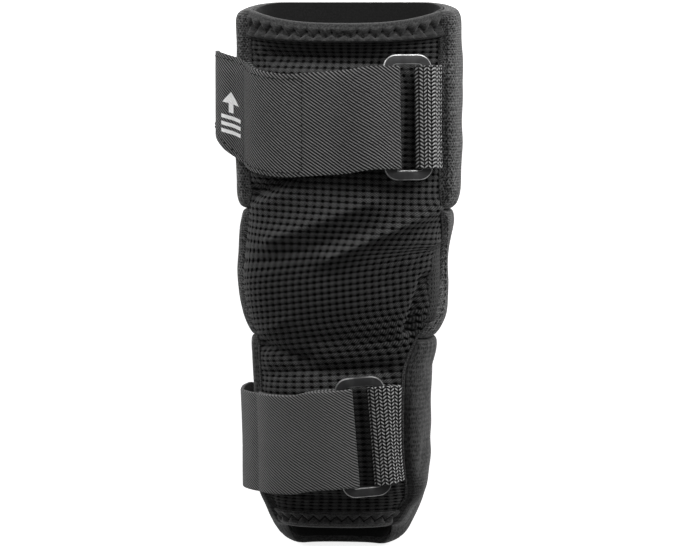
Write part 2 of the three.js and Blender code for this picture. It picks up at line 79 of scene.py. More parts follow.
def smoothCurve(places, values):
    places, values = np.array(places, float), np.array(values, float)
    secant = np.diff(values) / np.diff(places)
    before = np.concatenate([secant[:1], secant])
    after = np.concatenate([secant, secant[-1:]])
    same = before * after > 0
    slope = np.where(same, 2 * before * after / np.where(same, before + after, 1), 0)

    def value(at):
        at = np.asarray(at, float)
        span = np.clip(np.searchsorted(places, at, side="right") - 1, 0, len(secant) - 1)
        width = places[span + 1] - places[span]
        t = np.clip((at - places[span]) / width, 0, 1)
        return ((2 * t**3 - 3 * t**2 + 1) * values[span] + (t**3 - 2 * t**2 + t) * width * slope[span]
                + (3 * t**2 - 2 * t**3) * values[span + 1] + (t**3 - t**2) * width * slope[span + 1])

    return value


sectionCurves = {name: smoothCurve([row[0] for row in sectionRows], [row[i] for row in sectionRows])
                 for i, name in enumerate(sectionNames)}
armOrigin = np.zeros(3)  # set further down, from the place of the upper ring


def section(name, along):
    return sectionCurves[name](np.asarray(along, float) / armShape["length"])


def easeBetween(value, low, high):
    t = np.clip((value - low) / (high - low), 0, 1)
    return t * t * (3 - 2 * t)


def quarterRound(share):
    rest = 1 - np.clip(share, 0, 1)
    return np.sqrt(1 - rest * rest)


def squared(value):
    return np.sign(value) * np.abs(value) ** (2 / armShape["power"])


def armPoint(angle, lift, along):  # angle 0 is the middle of the back, 90 the right side, 180 the mesh
    angle, lift, along = np.broadcast_arrays(*(np.asarray(v, float) for v in (angle, lift, along)))
    turn = np.radians(angle)
    backDepth = armShape["backDepth"] * section("back", along)
    frontDepth = armShape["frontDepth"] * section("front", along)
    depth = np.where(np.cos(turn) < 0, frontDepth, backDepth) + lift
    halfWidth = armShape["halfWidth"] * section("width", along) + lift
    towardsFront = easeBetween((1 - np.cos(turn)) / 2, 0.1, 0.6)
    middleOfFront = np.maximum(-np.cos(turn), 0) ** 2
    nearShoulder = 1 - easeBetween(along, 0, armShape["shoulderReach"])
    nearWrist = 1 - easeBetween(armShape["length"] - along, 0, armShape["wristReach"])
    drop = nearShoulder * (armShape["shoulderSetback"] * towardsFront + armShape["shoulderDip"] * middleOfFront)
    x = armShape["halfWidth"] * section("shift", along) + halfWidth * squared(np.sin(turn))
    y = armShape["length"] / 2 - along - drop + nearWrist * armShape["wristSetback"] * towardsFront
    z = np.maximum(armShape["backLevel"] + backDepth - depth * squared(np.cos(turn)), 0)
    return np.stack([x, y, z], axis=-1) + armOrigin


def rightEdge(along):
    return 90 + section("right", along)


def leftEdge(along):
    return 270 - section("left", along)


def degreesFor(length, along):
    return np.degrees(length / (armShape["halfWidth"] * section("width", along)))


# making meshes
def named(name):  # the object that was just added
    piece = bpy.context.object
    piece.name = name
    return piece


def only(piece):
    bpy.ops.object.select_all(action="DESELECT")
    piece.select_set(True)
    bpy.context.view_layer.objects.active = piece
    return piece


def readPoints(piece):
    points = np.empty(len(piece.data.vertices) * 3)
    piece.data.vertices.foreach_get("co", points)
    return points.reshape(-1, 3)


def writePoints(piece, points):
    piece.data.vertices.foreach_set("co", np.ascontiguousarray(points, dtype=np.float32).ravel())
    piece.data.update()


def writeWeave(piece, weave):  # where the cloth's pattern lies, in metres: across, along, layer
    layer = piece.data.attributes.get("weave") or piece.data.attributes.new("weave", "FLOAT_VECTOR", "POINT")
    layer.data.foreach_set("vector", np.ascontiguousarray(weave, dtype=np.float32).ravel())


def applyModifier(piece, kind, **settings):
    only(piece)
    modifier = piece.modifiers.new(kind.lower(), kind)
    for key, value in settings.items():
        setattr(modifier, key, value)
    bpy.ops.object.modifier_apply(modifier=modifier.name)
    return piece


def bevelEdges(piece, width, segments):
    applyModifier(piece, "BEVEL", width=width * mm, segments=segments, limit_method="ANGLE",
                  angle_limit=math.radians(50))


def newGrid(name, columns, rows):
    bpy.ops.object.select_all(action="DESELECT")
    bpy.ops.mesh.primitive_grid_add(x_subdivisions=columns, y_subdivisions=rows, size=1, location=(0, 0, 0))
    piece = named(name)
    spots = readPoints(piece)
    return piece, spots[:, 0] + 0.5, spots[:, 1] + 0.5


def gridSpots(columns, rows):  # the places of a grid's vertices alone
    grid, across, down = newGrid("measure", columns, rows)
    bpy.data.objects.remove(grid)
    return across, down


def lengthsAlong(points):
    return np.concatenate([[0], np.cumsum(np.linalg.norm(np.diff(points, axis=0), axis=1))])


def patternOf(across, down, points, columns, rows):  # real lengths over the cloth, from its middle line
    order = np.lexsort((across, down))
    grid = points[order].reshape(rows + 1, columns + 1, 3)
    steps = np.linalg.norm(np.diff(grid, axis=1), axis=2)
    widths = np.concatenate([np.zeros((rows + 1, 1)), np.cumsum(steps, 1)], 1)
    widths -= widths[:, columns // 2:columns // 2 + 1]
    lengths = lengthsAlong(grid[:, columns // 2])
    weave = np.zeros_like(points)
    weave[order, 0] = widths.ravel()
    weave[order, 1] = np.repeat(lengths, columns + 1)
    return weave


def shellPiece(name, columns, rows, place):  # place gives the outer and the inner point of each spot
    piece, across, down = newGrid(name, columns, rows)
    outer, inner = (side * mm for side in place(across, down))
    weave = patternOf(across, down, outer, columns, rows)
    applyModifier(piece, "SOLIDIFY", thickness=0.01, offset=-1)
    writePoints(piece, np.concatenate([outer, inner]))
    # the pattern runs on over the edges, by the thickness there
    apart = np.linalg.norm(outer - inner, axis=1)[:, None]
    writeWeave(piece, np.concatenate([weave, weave - apart * [0, 1, 0] + [0, 0, mm]]))
    only(piece)
    bpy.ops.object.mode_set(mode="EDIT")
    bpy.ops.mesh.select_all(action="SELECT")
    bpy.ops.mesh.normals_make_consistent(inside=False)
    bpy.ops.object.mode_set(mode="OBJECT")
    return piece


def finishPiece(piece, material, slot, *nodes, angle=60):
    piece.data.materials.clear()
    for finish in material if isinstance(material, (list, tuple)) else [material]:
        piece.data.materials.append(finish)
    only(piece)
    bpy.ops.object.shade_smooth_by_angle(angle=math.radians(angle))
    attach(piece, "root")
    if nodes:
        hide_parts(*nodes)
    return piece


def stitchRow(name, starts, ends, outs, thickness, material, slot, rise=0.35):
    # one stitch is a long bead of thread, and the array's copies are laid from each start to its end
    starts, ends, outs = (np.asarray(v, float).reshape(-1, 3) for v in (starts, ends, outs))
    bpy.ops.object.select_all(action="DESELECT")
    bpy.ops.mesh.primitive_uv_sphere_add(segments=6, ring_count=6, radius=0.5, location=(0, 0, 0))
    row = named(name)
    bead = readPoints(row)
    applyModifier(row, "ARRAY", count=len(starts), relative_offset_displace=(1.5, 0, 0))
    ahead = ends - starts
    lengths = np.linalg.norm(ahead, axis=1)[:, None, None]
    outs = outs / np.linalg.norm(outs, axis=1)[:, None]
    side = np.cross(ahead, outs)
    side /= np.linalg.norm(side, axis=1)[:, None]
    share = bead[None, :, 2:]
    full = 1 - 0.4 * (2 * share) ** 4  # the bead stays full to near its ends
    placed = (starts[:, None] + ahead[:, None] * (share + 0.5)
              + side[:, None] * bead[None, :, :1] * thickness / full
              + outs[:, None] * (bead[None, :, 1:2] / full + rise * (1 - (2 * share) ** 2) * 2) * thickness)
    writePoints(row, placed.reshape(-1, 3) * mm)
    weave = np.concatenate(np.broadcast_arrays(bead[None, :, :1] * thickness, share * lengths, 0 * share), axis=-1)
    writeWeave(row, weave.reshape(-1, 3) * mm)
    finishPiece(row, material, slot)


def stitchesAlong(name, place, stops, length, thickness, material, slot):
    # place gives the point for a stop on the seam and a lift over the cloth
    stitchRow(name, place(stops - length / 2, 0), place(stops + length / 2, 0), place(stops, 1) - place(stops, 0),
              thickness, material, slot)


def arcTable(along):  # angles round the mesh side, and the lengths to them from its middle
    turns = np.concatenate([np.arange(75, 170, 0.25), np.arange(170, 190, 0.02), np.arange(190, 285.1, 0.25)])
    lengths = lengthsAlong(armPoint(turns, 0, along))
    return turns, lengths - np.interp(180, turns, lengths)


# straps' and rings' planes
strapSizes = {"width": 50.8, "thickness": 1.8, "webbing": 1.6, "play": 0.7, "gap": 0.3, "slack": 0.9, "blend": 26,
              "tabSetback": 6, "bevel": 0.45, "webbingBevel": 0.4}
ringSizes = {"length": 62, "width": 25, "bar": 5, "thickness": 1.8, "corner": 7, "bevel": 0.5}
clothSizes = {"mesh": 1.8, "seamGap": 0.5, "hem": 1.0}
meshTop = clothSizes["mesh"] + strapSizes["play"]
underLift = meshTop + strapSizes["thickness"] / 2
outerLift = underLift + strapSizes["thickness"] + strapSizes["gap"]
strapBarOffset = ringSizes["thickness"] / 2 + strapSizes["gap"] + strapSizes["thickness"] / 2
webbingBarOffset = ringSizes["thickness"] / 2 + strapSizes["gap"] + strapSizes["webbing"] / 2
barCentre = (ringSizes["width"] - ringSizes["bar"]) / 2

upperStrap = {
    "along": 56.96, "ringAngle": 149, "ringTurn": 0, "tailStart": 246, "tailTurn": 27, "tailStandOff": 18,
    "upperCorner": 11, "lowerCorner": 36,
    "tail": ((0, 0.3), (0.3, 0.48), (0.58, 0.8), (0.82, 1), (1, 0.97)),
    "driftTurn": 160, "driftRise": 9,
    "drift": ((0, 0), (0.13, -0.3), (0.27, -0.46), (0.45, -0.2), (0.56, 0.33), (0.66, 0.75), (0.75, 1)),
}
lowerStrap = {
    "along": 217.14, "ringAngle": 162.5, "ringTurn": 4.8, "tailStart": 246, "tailTurn": 58, "tailStandOff": 13,
    "upperCorner": 10, "lowerCorner": 10,
    "tail": ((0, 0.42), (0.22, 0.7), (0.42, 0.96), (0.62, 1), (0.82, 0.98), (1, 0.95)),
    "driftTurn": 120, "driftRise": -6,
    "drift": ((0, 0), (0.12, 0.55), (0.24, 0.9), (0.5, 0.95), (0.8, 0.85), (1, 0.75)),
}


def ringPlane(strap):
    spread = degreesFor(ringSizes["width"] / 2, strap["along"])

    def at(turn, shift):
        return armPoint(strap["ringAngle"] + turn, underLift, strap["along"] - shift)

    right = at(-spread, 0) - at(spread, 0)
    up = at(0, strapSizes["width"] / 2) - at(0, -strapSizes["width"] / 2)
    out = np.cross(right, up)
    out /= np.linalg.norm(out)
    turn = Matrix.Rotation(math.radians(strap["ringTurn"]), 3, Vector(out))
    right = np.array(turn @ Vector(right / np.linalg.norm(right)))
    up = np.cross(out, right)
    centre = (at(spread, 0) + at(-spread, 0)) / 2
    under = [at(turn * spread, shift * strapSizes["width"])
             for turn in (-1, -0.5, 0, 0.5, 1) for shift in (-0.5, 0, 0.5)]
    centre = centre + out * (strapBarOffset + max(0, max(float((p - centre) @ out) for p in under)))
    return {"right": right, "up": up, "out": out, "centre": centre}


def planePoint(plane, u, v, h):
    u, v, h = (np.asarray(value, float)[..., None] for value in (u, v, h))
    return plane["centre"] + u * plane["right"] + v * plane["up"] + h * plane["out"]


ringLow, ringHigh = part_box("upper_ring")
armOrigin += np.array((ringLow + ringHigh) / 2) / mm - ringPlane(upperStrap)["centre"]
print("arm placed", armOrigin)

# camera
cameraView = {"aim": (5.0, 3.25, 40), "distance": 1550, "towardsShoulder": 5, "towardsRight": 4,
              "millimetresPerPixel": 0.51, "imageWidth": 700, "sensor": 36}
eye = Vector((math.sin(math.radians(cameraView["towardsRight"])),
              math.sin(math.radians(cameraView["towardsShoulder"])), 0))
eye.z = math.sqrt(1 - eye.length_squared)
bpy.ops.object.camera_add()
camera = named("camera")
aim = Vector(cameraView["aim"]) * mm
camera.location = aim + eye * cameraView["distance"] * mm
camera.data.sensor_width = cameraView["sensor"]
seenWidth = cameraView["imageWidth"] * cameraView["millimetresPerPixel"]
camera.data.lens = cameraView["sensor"] * cameraView["distance"] / seenWidth
side = Vector((0, 1, 0)).cross(eye).normalized()
camera.rotation_mode = "QUATERNION"
camera.rotation_quaternion = Matrix((side, eye.cross(side), eye)).transposed().to_quaternion()
camera.data.clip_start, camera.data.clip_end = 0.05, 20
bpy.context.scene.camera = camera
bpy.context.scene.view_settings.view_transform = "Standard"
print("camera made")


# materials
socketNames = {"color": "Base Color", "roughness": "Roughness", "metallic": "Metallic", "sheen": "Sheen Weight",
               "sheenRoughness": "Sheen Roughness", "specular": "Specular IOR Level", "glow": "Emission Color",
               "glowStrength": "Emission Strength"}


def newMaterial(name, **sockets):
    material = bpy.data.materials.new(name)
    material.use_nodes = True
    shader = material.node_tree.nodes["Principled BSDF"]
    for key, value in sockets.items():
        shader.inputs[socketNames[key]].default_value = value
    return material, shader


class Nodes:  # short ways to place nodes in one tree
    def __init__(self, tree):
        self.tree = tree

    def add(self, kind, **settings):
        node = self.tree.nodes.new(kind)
        for key, value in settings.items():
            setattr(node, key, value)
        return node

    def feed(self, socket, value):
        if hasattr(value, "is_output"):
            self.tree.links.new(value, socket)
        else:
            socket.default_value = value

    def math(self, operation, *values, clamp=False):
        node = self.add("ShaderNodeMath", operation=operation, use_clamp=clamp)
        for socket, value in zip(node.inputs, values):
            self.feed(socket, value)
        return node.outputs[0]

    def times(self, first, second, clamp=False):
        return self.math("MULTIPLY", first, second, clamp=clamp)

    def timesPlus(self, value, factor, rest, clamp=False):
        return self.math("MULTIPLY_ADD", value, factor, rest, clamp=clamp)

    def plus(self, first, second):
        return self.math("ADD", first, second)

    def minus(self, first, second, clamp=False):
        return self.math("SUBTRACT", first, second, clamp=clamp)

    def fromMiddle(self, place):  # of the cell that the place lies in
        return self.minus(self.math("FRACT", place), 0.5)

    def wave(self, place):  # 0 to 1, once for each whole step of place
        return self.timesPlus(self.math("SINE", self.times(place, 2 * math.pi)), 0.5, 0.5)

    def smooth(self, value, low, high):
        node = self.add("ShaderNodeMapRange", interpolation_type="SMOOTHSTEP")
        for key, entry in (("Value", value), ("From Min", low), ("From Max", high)):
            self.feed(node.inputs[key], entry)
        return node.outputs[0]

    def mix(self, share, first, second):
        node = self.add("ShaderNodeMix", data_type="RGBA")
        self.feed(node.inputs["Factor"], share)
        self.feed(node.inputs["A"], first)
        self.feed(node.inputs["B"], second)
        return node.outputs["Result"]

    def noise(self, vector, scale, detail=2, roughness=0.5):
        node = self.add("ShaderNodeTexNoise")
        self.feed(node.inputs["Vector"], vector)
        self.feed(node.inputs["Scale"], scale)
        node.inputs["Detail"].default_value = detail
        node.inputs["Roughness"].default_value = roughness
        return node.outputs[0]

    def weave(self):
        return self.add("ShaderNodeAttribute", attribute_name="weave").outputs["Vector"]

    def parts(self, vector):
        node = self.add("ShaderNodeSeparateXYZ")
        self.feed(node.inputs[0], vector)
        return node.outputs

    def bump(self, height, distance, strength=1.0):
        node = self.add("ShaderNodeBump")
        node.inputs["Distance"].default_value = distance
        node.inputs["Strength"].default_value = strength
        self.feed(node.inputs["Height"], height)
        return node.outputs[0]

    def group(self, tree, **values):
        node = self.add("ShaderNodeGroup")
        node.node_tree = tree
        for key, value in values.items():
            self.feed(node.inputs[key], value)
        return node.outputs


def newGroup(name, inputs, outputs):
    tree = bpy.data.node_groups.new(name, "ShaderNodeTree")
    for label, kind, value in inputs:
        socket = tree.interface.new_socket(label, in_out="INPUT", socket_type=kind)
        if value is not None:
            socket.default_value = value
    for label, kind in outputs:
        tree.interface.new_socket(label, in_out="OUTPUT", socket_type=kind)
    nodes = Nodes(tree)
    return tree, nodes, nodes.add("NodeGroupInput").outputs, nodes.add("NodeGroupOutput").inputs


def makeDots():  # rows of small holes or dimples, every other row moved sideways by Stagger
    tree, nodes, given, out = newGroup(
        "dots",
        [("Vector", "NodeSocketVector", None), ("Across", "NodeSocketFloat", 0.0015),
         ("Down", "NodeSocketFloat", 0.0013), ("Radius", "NodeSocketFloat", 0.3),
         ("Stagger", "NodeSocketFloat", 0.5)],
        [("Hole", "NodeSocketFloat"), ("Row", "NodeSocketFloat")])
    x, y, _ = nodes.parts(given["Vector"])
    rowPlace = nodes.math("DIVIDE", y, given["Down"])
    row = nodes.math("FLOOR", rowPlace)
    odd = nodes.times(nodes.math("MODULO", nodes.math("ABSOLUTE", row), 2.0), given["Stagger"])
    columnPlace = nodes.plus(nodes.math("DIVIDE", x, given["Across"]), odd)
    fromColumn, fromRow = nodes.fromMiddle(columnPlace), nodes.fromMiddle(rowPlace)
    away = nodes.math("SQRT", nodes.plus(nodes.times(fromColumn, fromColumn), nodes.times(fromRow, fromRow)))
    inner, outer = nodes.times(given["Radius"], 0.6), nodes.times(given["Radius"], 1.4)
    nodes.feed(out["Hole"], nodes.minus(1.0, nodes.smooth(away, inner, outer)))
    nodes.feed(out["Row"], fromRow)
    return tree


def makeRibs():  # ribs of a given pitch, leaning by Lean across per unit along
    tree, nodes, given, out = newGroup(
        "ribs",
        [("Vector", "NodeSocketVector", None), ("Pitch", "NodeSocketFloat", 0.0014),
         ("Lean", "NodeSocketFloat", 1.0), ("Wander", "NodeSocketFloat", 0.1)],
        [("Height", "NodeSocketFloat"), ("Place", "NodeSocketFloat")])
    x, y, _ = nodes.parts(given["Vector"])
    loose = nodes.times(nodes.noise(given["Vector"], 260.0), given["Wander"])
    place = nodes.math("DIVIDE", nodes.plus(y, nodes.times(x, given["Lean"])), given["Pitch"])
    place = nodes.plus(place, loose)
    nodes.feed(out["Height"], nodes.wave(place))
    nodes.feed(out["Place"], place)
    return tree


def makeFuzz():  # uneven colour and fine hair of worn cloth
    tree, nodes, given, out = newGroup(
        "fuzz", [("Vector", "NodeSocketVector", None), ("Fine", "NodeSocketFloat", 1800.0)],
        [("Patch", "NodeSocketFloat"), ("Hair", "NodeSocketFloat")])
    nodes.feed(out["Patch"], nodes.noise(given["Vector"], 35.0, 3, 0.6))
    nodes.feed(out["Hair"], nodes.noise(given["Vector"], given["Fine"], 2, 0.7))
    return tree


dots, ribs, fuzz = makeDots(), makeRibs(), makeFuzz()


def clothMaterial(name, dark, light, build, roughness=0.85, bump=0.0003, sheen=0.0, patch=0.5):
    material, shader = newMaterial(name, roughness=roughness, sheen=sheen, sheenRoughness=0.5, specular=0.16)
    nodes = Nodes(material.node_tree)
    roughSpread = 0.08
    weave = nodes.weave()
    worn = nodes.group(fuzz, Vector=weave)
    tone, height, *prints = build(nodes, weave, worn)
    tone = nodes.times(tone, nodes.timesPlus(worn["Patch"], patch, 1 - patch / 2), clamp=True)
    color = nodes.mix(tone, (dark, dark, dark, 1), (light, light, light, 1))
    for ink in prints:
        color = nodes.mix(ink, color, (1, 1, 1, 1))
    nodes.feed(shader.inputs["Base Color"], color)
    nodes.feed(shader.inputs["Normal"], nodes.bump(height, bump))
    rough = nodes.timesPlus(worn["Hair"], roughSpread, roughness - roughSpread / 2)
    nodes.feed(shader.inputs["Roughness"], rough)
    return material


def knitTone(across, down, radius, depth=0.7, stagger=0.5, speck=900.0, grainShare=0.75):
    # small holes or dimples in cloth with an uneven grain
    def build(nodes, weave, worn):
        spots = nodes.group(dots, Vector=weave, Across=across, Down=down, Radius=radius, Stagger=stagger)
        grain = nodes.smooth(nodes.noise(weave, speck, 3, 0.65), 0.36, 0.68)
        tone = nodes.timesPlus(grain, grainShare, nodes.timesPlus(worn["Hair"], 0.3, 0.05))
        tone = nodes.minus(tone, nodes.times(spots["Hole"], depth), clamp=True)
        height = nodes.minus(nodes.times(grain, 0.6), nodes.times(spots["Hole"], depth))
        return tone, height
    return build


def ribTone(pitch, lean, wander=0.12, gap=0.5, full=0.9):
    # ribs of elastic, with dark gaps between them and the yarn's turns over them
    def build(nodes, weave, worn):
        main = nodes.group(ribs, Vector=weave, Pitch=pitch, Lean=lean, Wander=wander)
        yarn = nodes.group(ribs, Vector=weave, Pitch=pitch * 0.42, Lean=-1.4 / lean, Wander=wander)
        rib = nodes.smooth(main["Height"], gap, full)
        height = nodes.timesPlus(yarn["Height"], 0.2, rib)
        over = nodes.timesPlus(worn["Hair"], 0.4, nodes.timesPlus(yarn["Height"], 0.25, 0.4))
        tone = nodes.timesPlus(rib, over, 0.03)
        return tone, height
    return build


def meshTone(across, down):
    # light strands slant over the ridges; painted groove shade makes a thin dark line that joins the dark holes of
    # each row, and painted shade darkens the hole walls with depth
    def build(nodes, weave, worn):
        x, y, depth = nodes.parts(weave)
        fromRow = nodes.math("ABSOLUTE", nodes.fromMiddle(nodes.plus(nodes.math("DIVIDE", y, down), 0.5)))
        line = nodes.minus(1.0, nodes.smooth(fromRow, 0.02, 0.1))
        ridge = nodes.smooth(fromRow, 0.05, 0.3)
        fromColumn = nodes.math("ABSOLUTE", nodes.fromMiddle(nodes.math("DIVIDE", x, across)))
        # yarn is thickest between columns
        between = nodes.timesPlus(nodes.smooth(fromColumn, 0.16, 0.4), 0.42, 0.58)
        strands = nodes.group(ribs, Vector=weave, Pitch=0.00085, Lean=0.62, Wander=0.6)
        strand = nodes.smooth(strands["Height"], 0.25, 0.85)
        hair = nodes.timesPlus(worn["Hair"], 0.3, 0.05)
        tone = nodes.timesPlus(nodes.times(strand, ridge), 0.6, hair)
        # painted shade: the thin dark line along the groove between the holes
        tone = nodes.minus(tone, nodes.times(line, 0.2), clamp=True)
        # painted shade: darker down the walls of the holes
        tone = nodes.times(nodes.times(tone, between), nodes.smooth(depth, -0.0004, 0.0))
        height = nodes.minus(nodes.times(strand, 0.5), nodes.times(line, 0.7))
        return tone, height
    return build


def herringTone(columnWidth, pitch):
    # columns of slanting yarn, every other column the other way
    def build(nodes, weave, worn):
        x, y, _ = nodes.parts(weave)
        column = nodes.math("PINGPONG", nodes.math("DIVIDE", x, columnWidth), 1.0)
        place = nodes.plus(nodes.math("DIVIDE", y, pitch), nodes.times(column, 0.9))
        yarn = nodes.smooth(nodes.wave(place), 0.35, 0.9)
        turn = nodes.math("ABSOLUTE", nodes.minus(column, 0.5))
        # painted shade: darker where it bends round the bar
        bendShade = nodes.timesPlus(nodes.smooth(x, -0.02, -0.007), 0.6, 0.4)
        groove = nodes.smooth(turn, 0.22, 0.44)
        height = nodes.minus(yarn, nodes.times(groove, 0.9))
        over = nodes.times(nodes.timesPlus(worn["Hair"], 0.4, 0.7), bendShade)
        tone = nodes.timesPlus(height, over, 0.03, clamp=True)
        return tone, height
    return build


markSizes = {"fromEnd": 25.5, "top": 7.5, "headWidth": 11, "headLength": 6, "stemWidth": 3, "stemLength": 4.5,
             "barWidth": 13, "barHeight": 1.9, "barPitch": 3.6, "bars": 3}


def markedRibs(pitch, lean):  # a plain printed mark near the free end: an arrow to the shoulder over short bars
    plain = ribTone(pitch, lean)
    headLength, stemLength, barPitch = (markSizes[key] for key in ("headLength", "stemLength", "barPitch"))
    firstBar = headLength + stemLength + barPitch * 0.7
    # each shape's middle below the top, its width and its height
    shapes = [(headLength + stemLength / 2 - 0.5, markSizes["stemWidth"], stemLength + 1)]
    shapes += [(firstBar + i * barPitch, markSizes["barWidth"], markSizes["barHeight"])
               for i in range(markSizes["bars"])]

    def build(nodes, weave, worn):
        tone, height = plain(nodes, weave, worn)
        x, y, layer = nodes.parts(weave)
        # in millimetres from the mark's middle line and from its top
        across = nodes.math("ABSOLUTE", nodes.timesPlus(x, 1000.0, markSizes["fromEnd"]))
        below = nodes.timesPlus(y, -1000.0, markSizes["top"])
        slant = nodes.times(below, markSizes["headWidth"] / 2 / headLength)
        inside = nodes.math("MINIMUM", nodes.minus(slant, across), nodes.minus(headLength, below))
        for middle, width, tall in shapes:
            fromMiddle = nodes.math("ABSOLUTE", nodes.minus(below, middle))
            shape = nodes.math("MINIMUM", nodes.minus(width / 2, across), nodes.minus(tall / 2, fromMiddle))
            inside = nodes.math("MAXIMUM", inside, shape)
        ink = nodes.times(nodes.smooth(inside, -0.08, 0.12), nodes.math("GREATER_THAN", layer, 0.0005))
        return tone, height, nodes.times(ink, nodes.timesPlus(tone, 0.12, 0.88))
    return build


padKnit = clothMaterial("padKnit", 0.006, 0.155, knitTone(0.0016, 0.0014, 0.28, 0.55, speck=650.0), sheen=0.05)
forearmKnit = clothMaterial("forearmKnit", 0.014, 0.1,
                            knitTone(0.0012, 0.0024, 0.3, 0.3, speck=520.0, grainShare=0.45),
                            bump=0.00018, sheen=0.05)
linerCloth = clothMaterial("linerCloth", 0.004, 0.014, knitTone(0.0009, 0.0009, 0.25, 0.2, grainShare=0.4),
                           roughness=0.75, bump=0.00006, sheen=0.03)
hemCloth = clothMaterial("hemCloth", 0.005, 0.05, knitTone(0.0008, 0.0008, 0.25, 0.2, grainShare=0.6),
                         bump=0.0002, sheen=0.15)
gussetKnit = clothMaterial("gussetKnit", 0.002, 0.05,
                           knitTone(0.0025, 0.0023, 0.24, 1.6, 0.0, speck=1300.0, grainShare=0.5),
                           bump=0.0004, sheen=0.05)
meshYarn = clothMaterial("meshYarn", 0.0015, 0.088, meshTone(0.0041, 0.003), sheen=0.05)
meshBacking = clothMaterial("meshBacking", 0.0008, 0.004, knitTone(0.0012, 0.0012, 0.0012), bump=0.0001)
elasticTwill = clothMaterial("elasticTwill", 0.0015, 0.27, markedRibs(0.00163, -0.76),
                             roughness=0.7, bump=0.0005, sheen=0.03, patch=0.3)
fineTwill = clothMaterial("fineTwill", 0.01, 0.22, ribTone(0.0015, -0.78, 0.35, 0.15, 0.95),
                          roughness=0.72, bump=0.00025, sheen=0.03, patch=0.3)
webbingCloth = clothMaterial("webbingCloth", 0.001, 0.48, herringTone(0.00198, 0.00185),
                             roughness=0.6, bump=0.0005, patch=0.3)
seamEdge = clothMaterial("seamEdge", 0.012, 0.09, knitTone(0.0009, 0.0012, 0.3, 0.5, 0.0), bump=0.0002)
threadDark, threadGrey, needleHole = (
    clothMaterial(name, dark, light, ribTone(0.0004, 1.0), roughness=roughness, bump=0.00005)
    for name, dark, light, roughness in (("threadDark", 0.004, 0.02, 0.7), ("threadGrey", 0.03, 0.12, 0.55),
                                         ("needleHole", 0.0008, 0.003, 0.9)))


def metalMaterial(name, dark, light, roughness, metallic):
    material, shader = newMaterial(name, roughness=roughness, metallic=metallic)
    nodes = Nodes(material.node_tree)
    place = nodes.add("ShaderNodeTexCoord").outputs["Object"]
    specks = nodes.noise(place, 900.0, 4, 0.7)
    patches = nodes.noise(place, 90.0, 3, 0.6)
    nodes.feed(shader.inputs["Base Color"], nodes.mix(nodes.smooth(patches, 0.35, 0.75), (*dark, 1), (*light, 1)))
    nodes.feed(shader.inputs["Roughness"], nodes.timesPlus(specks, 0.25, roughness - 0.12))
    nodes.feed(shader.inputs["Normal"], nodes.bump(specks, 0.00003))
    return material


ringEnamel = metalMaterial("ringEnamel", (0.03, 0.03, 0.031), (0.07, 0.07, 0.071), 0.34, 0.4)
# painted highlight for the rings' rounded edges: light grey, partly metallic
ringEdgeHighlight = metalMaterial("ringEdgeHighlight", (0.1, 0.1, 0.1), (0.7, 0.7, 0.7), 0.3, 0.6)
print("materials made")

# foam blocks
padSizes = {
    "backFoam": 13, "creaseThickness": 4, "edgeThickness": 2.4, "edgeRoll": 9, "waves": 0.45, "puckers": 0.55,
    "pressure": 4, "steps": 14, "mostSwell": 1.0, "room": 0.6,
    "columns": 110,
}
padBlocks = {
    "upper_arm_pad": {"from": 0, "to": 103.7, "foam": 9, "fromRound": 7, "toRound": 11, "rows": 50,
                      "fill": 0.75, "seed": 3},
    "elbow_pad": {"from": 104, "to": 168.7, "foam": 7.2, "fromRound": 11, "toRound": 11, "rows": 36,
                  "fill": 0.75, "seed": 5},
    "forearm_pad": {"from": 169, "to": 282, "foam": 7.6, "fromRound": 11, "toRound": 7, "rows": 52,
                    "fill": 0.7, "seed": 9},
}


def padLift(block, angle, along):  # thickness of the foam over the hollow
    right, left = rightEdge(along), leftEdge(along) - 360
    ends = quarterRound((along - block["from"]) / block["fromRound"])
    ends = ends * quarterRound((block["to"] - along) / block["toRound"])
    fromEdge = np.minimum(angle - left, right - angle) / degreesFor(padSizes["edgeRoll"], along)
    atBack = easeBetween(np.cos(np.radians(angle)), 0.2, 0.9)
    full = block["foam"] + (padSizes["backFoam"] - block["foam"]) * atBack - padSizes["room"]
    crease = padSizes["creaseThickness"] + (full - padSizes["creaseThickness"]) * ends
    lift = padSizes["edgeThickness"] + (crease - padSizes["edgeThickness"]) * quarterRound(fromEdge)
    return lift + slackOf(block, angle, along) * easeBetween(fromEdge, 0, 1.2)


def slackOf(block, angle, along):  # the cover's soft waves, and its puckers beside the sewn ends
    random = np.random.default_rng(block["seed"])
    waves = 0
    for _ in range(8):
        lean, phase, length = random.uniform(0, math.pi), random.uniform(0, 2 * math.pi), random.uniform(16, 38)
        place = 0.84 * angle * math.cos(lean) + along * math.sin(lean)
        waves = waves + np.sin(place * 2 * math.pi / length + phase)
    fromEnds = np.minimum(along - block["from"], block["to"] - along)
    puckers = np.sin(angle * 2 * math.pi / 8.5 + 1.7 * np.sin(angle / 13 + block["seed"])) * np.exp(-fromEnds / 7)
    return padSizes["waves"] * waves / 3 + padSizes["puckers"] * puckers * easeBetween(fromEnds, 0, 2)


def padFaces(block):
    def place(across, down):
        # rows lie closer together where the ends are rounded
        along = block["from"] + (block["to"] - block["from"]) * (down - 0.035 * np.sin(4 * math.pi * down))
        right, left = rightEdge(along), leftEdge(along) - 360
        angle = left + (right - left) * across
        return armPoint(angle, padLift(block, angle, along), along), armPoint(angle, 0, along)
    return place


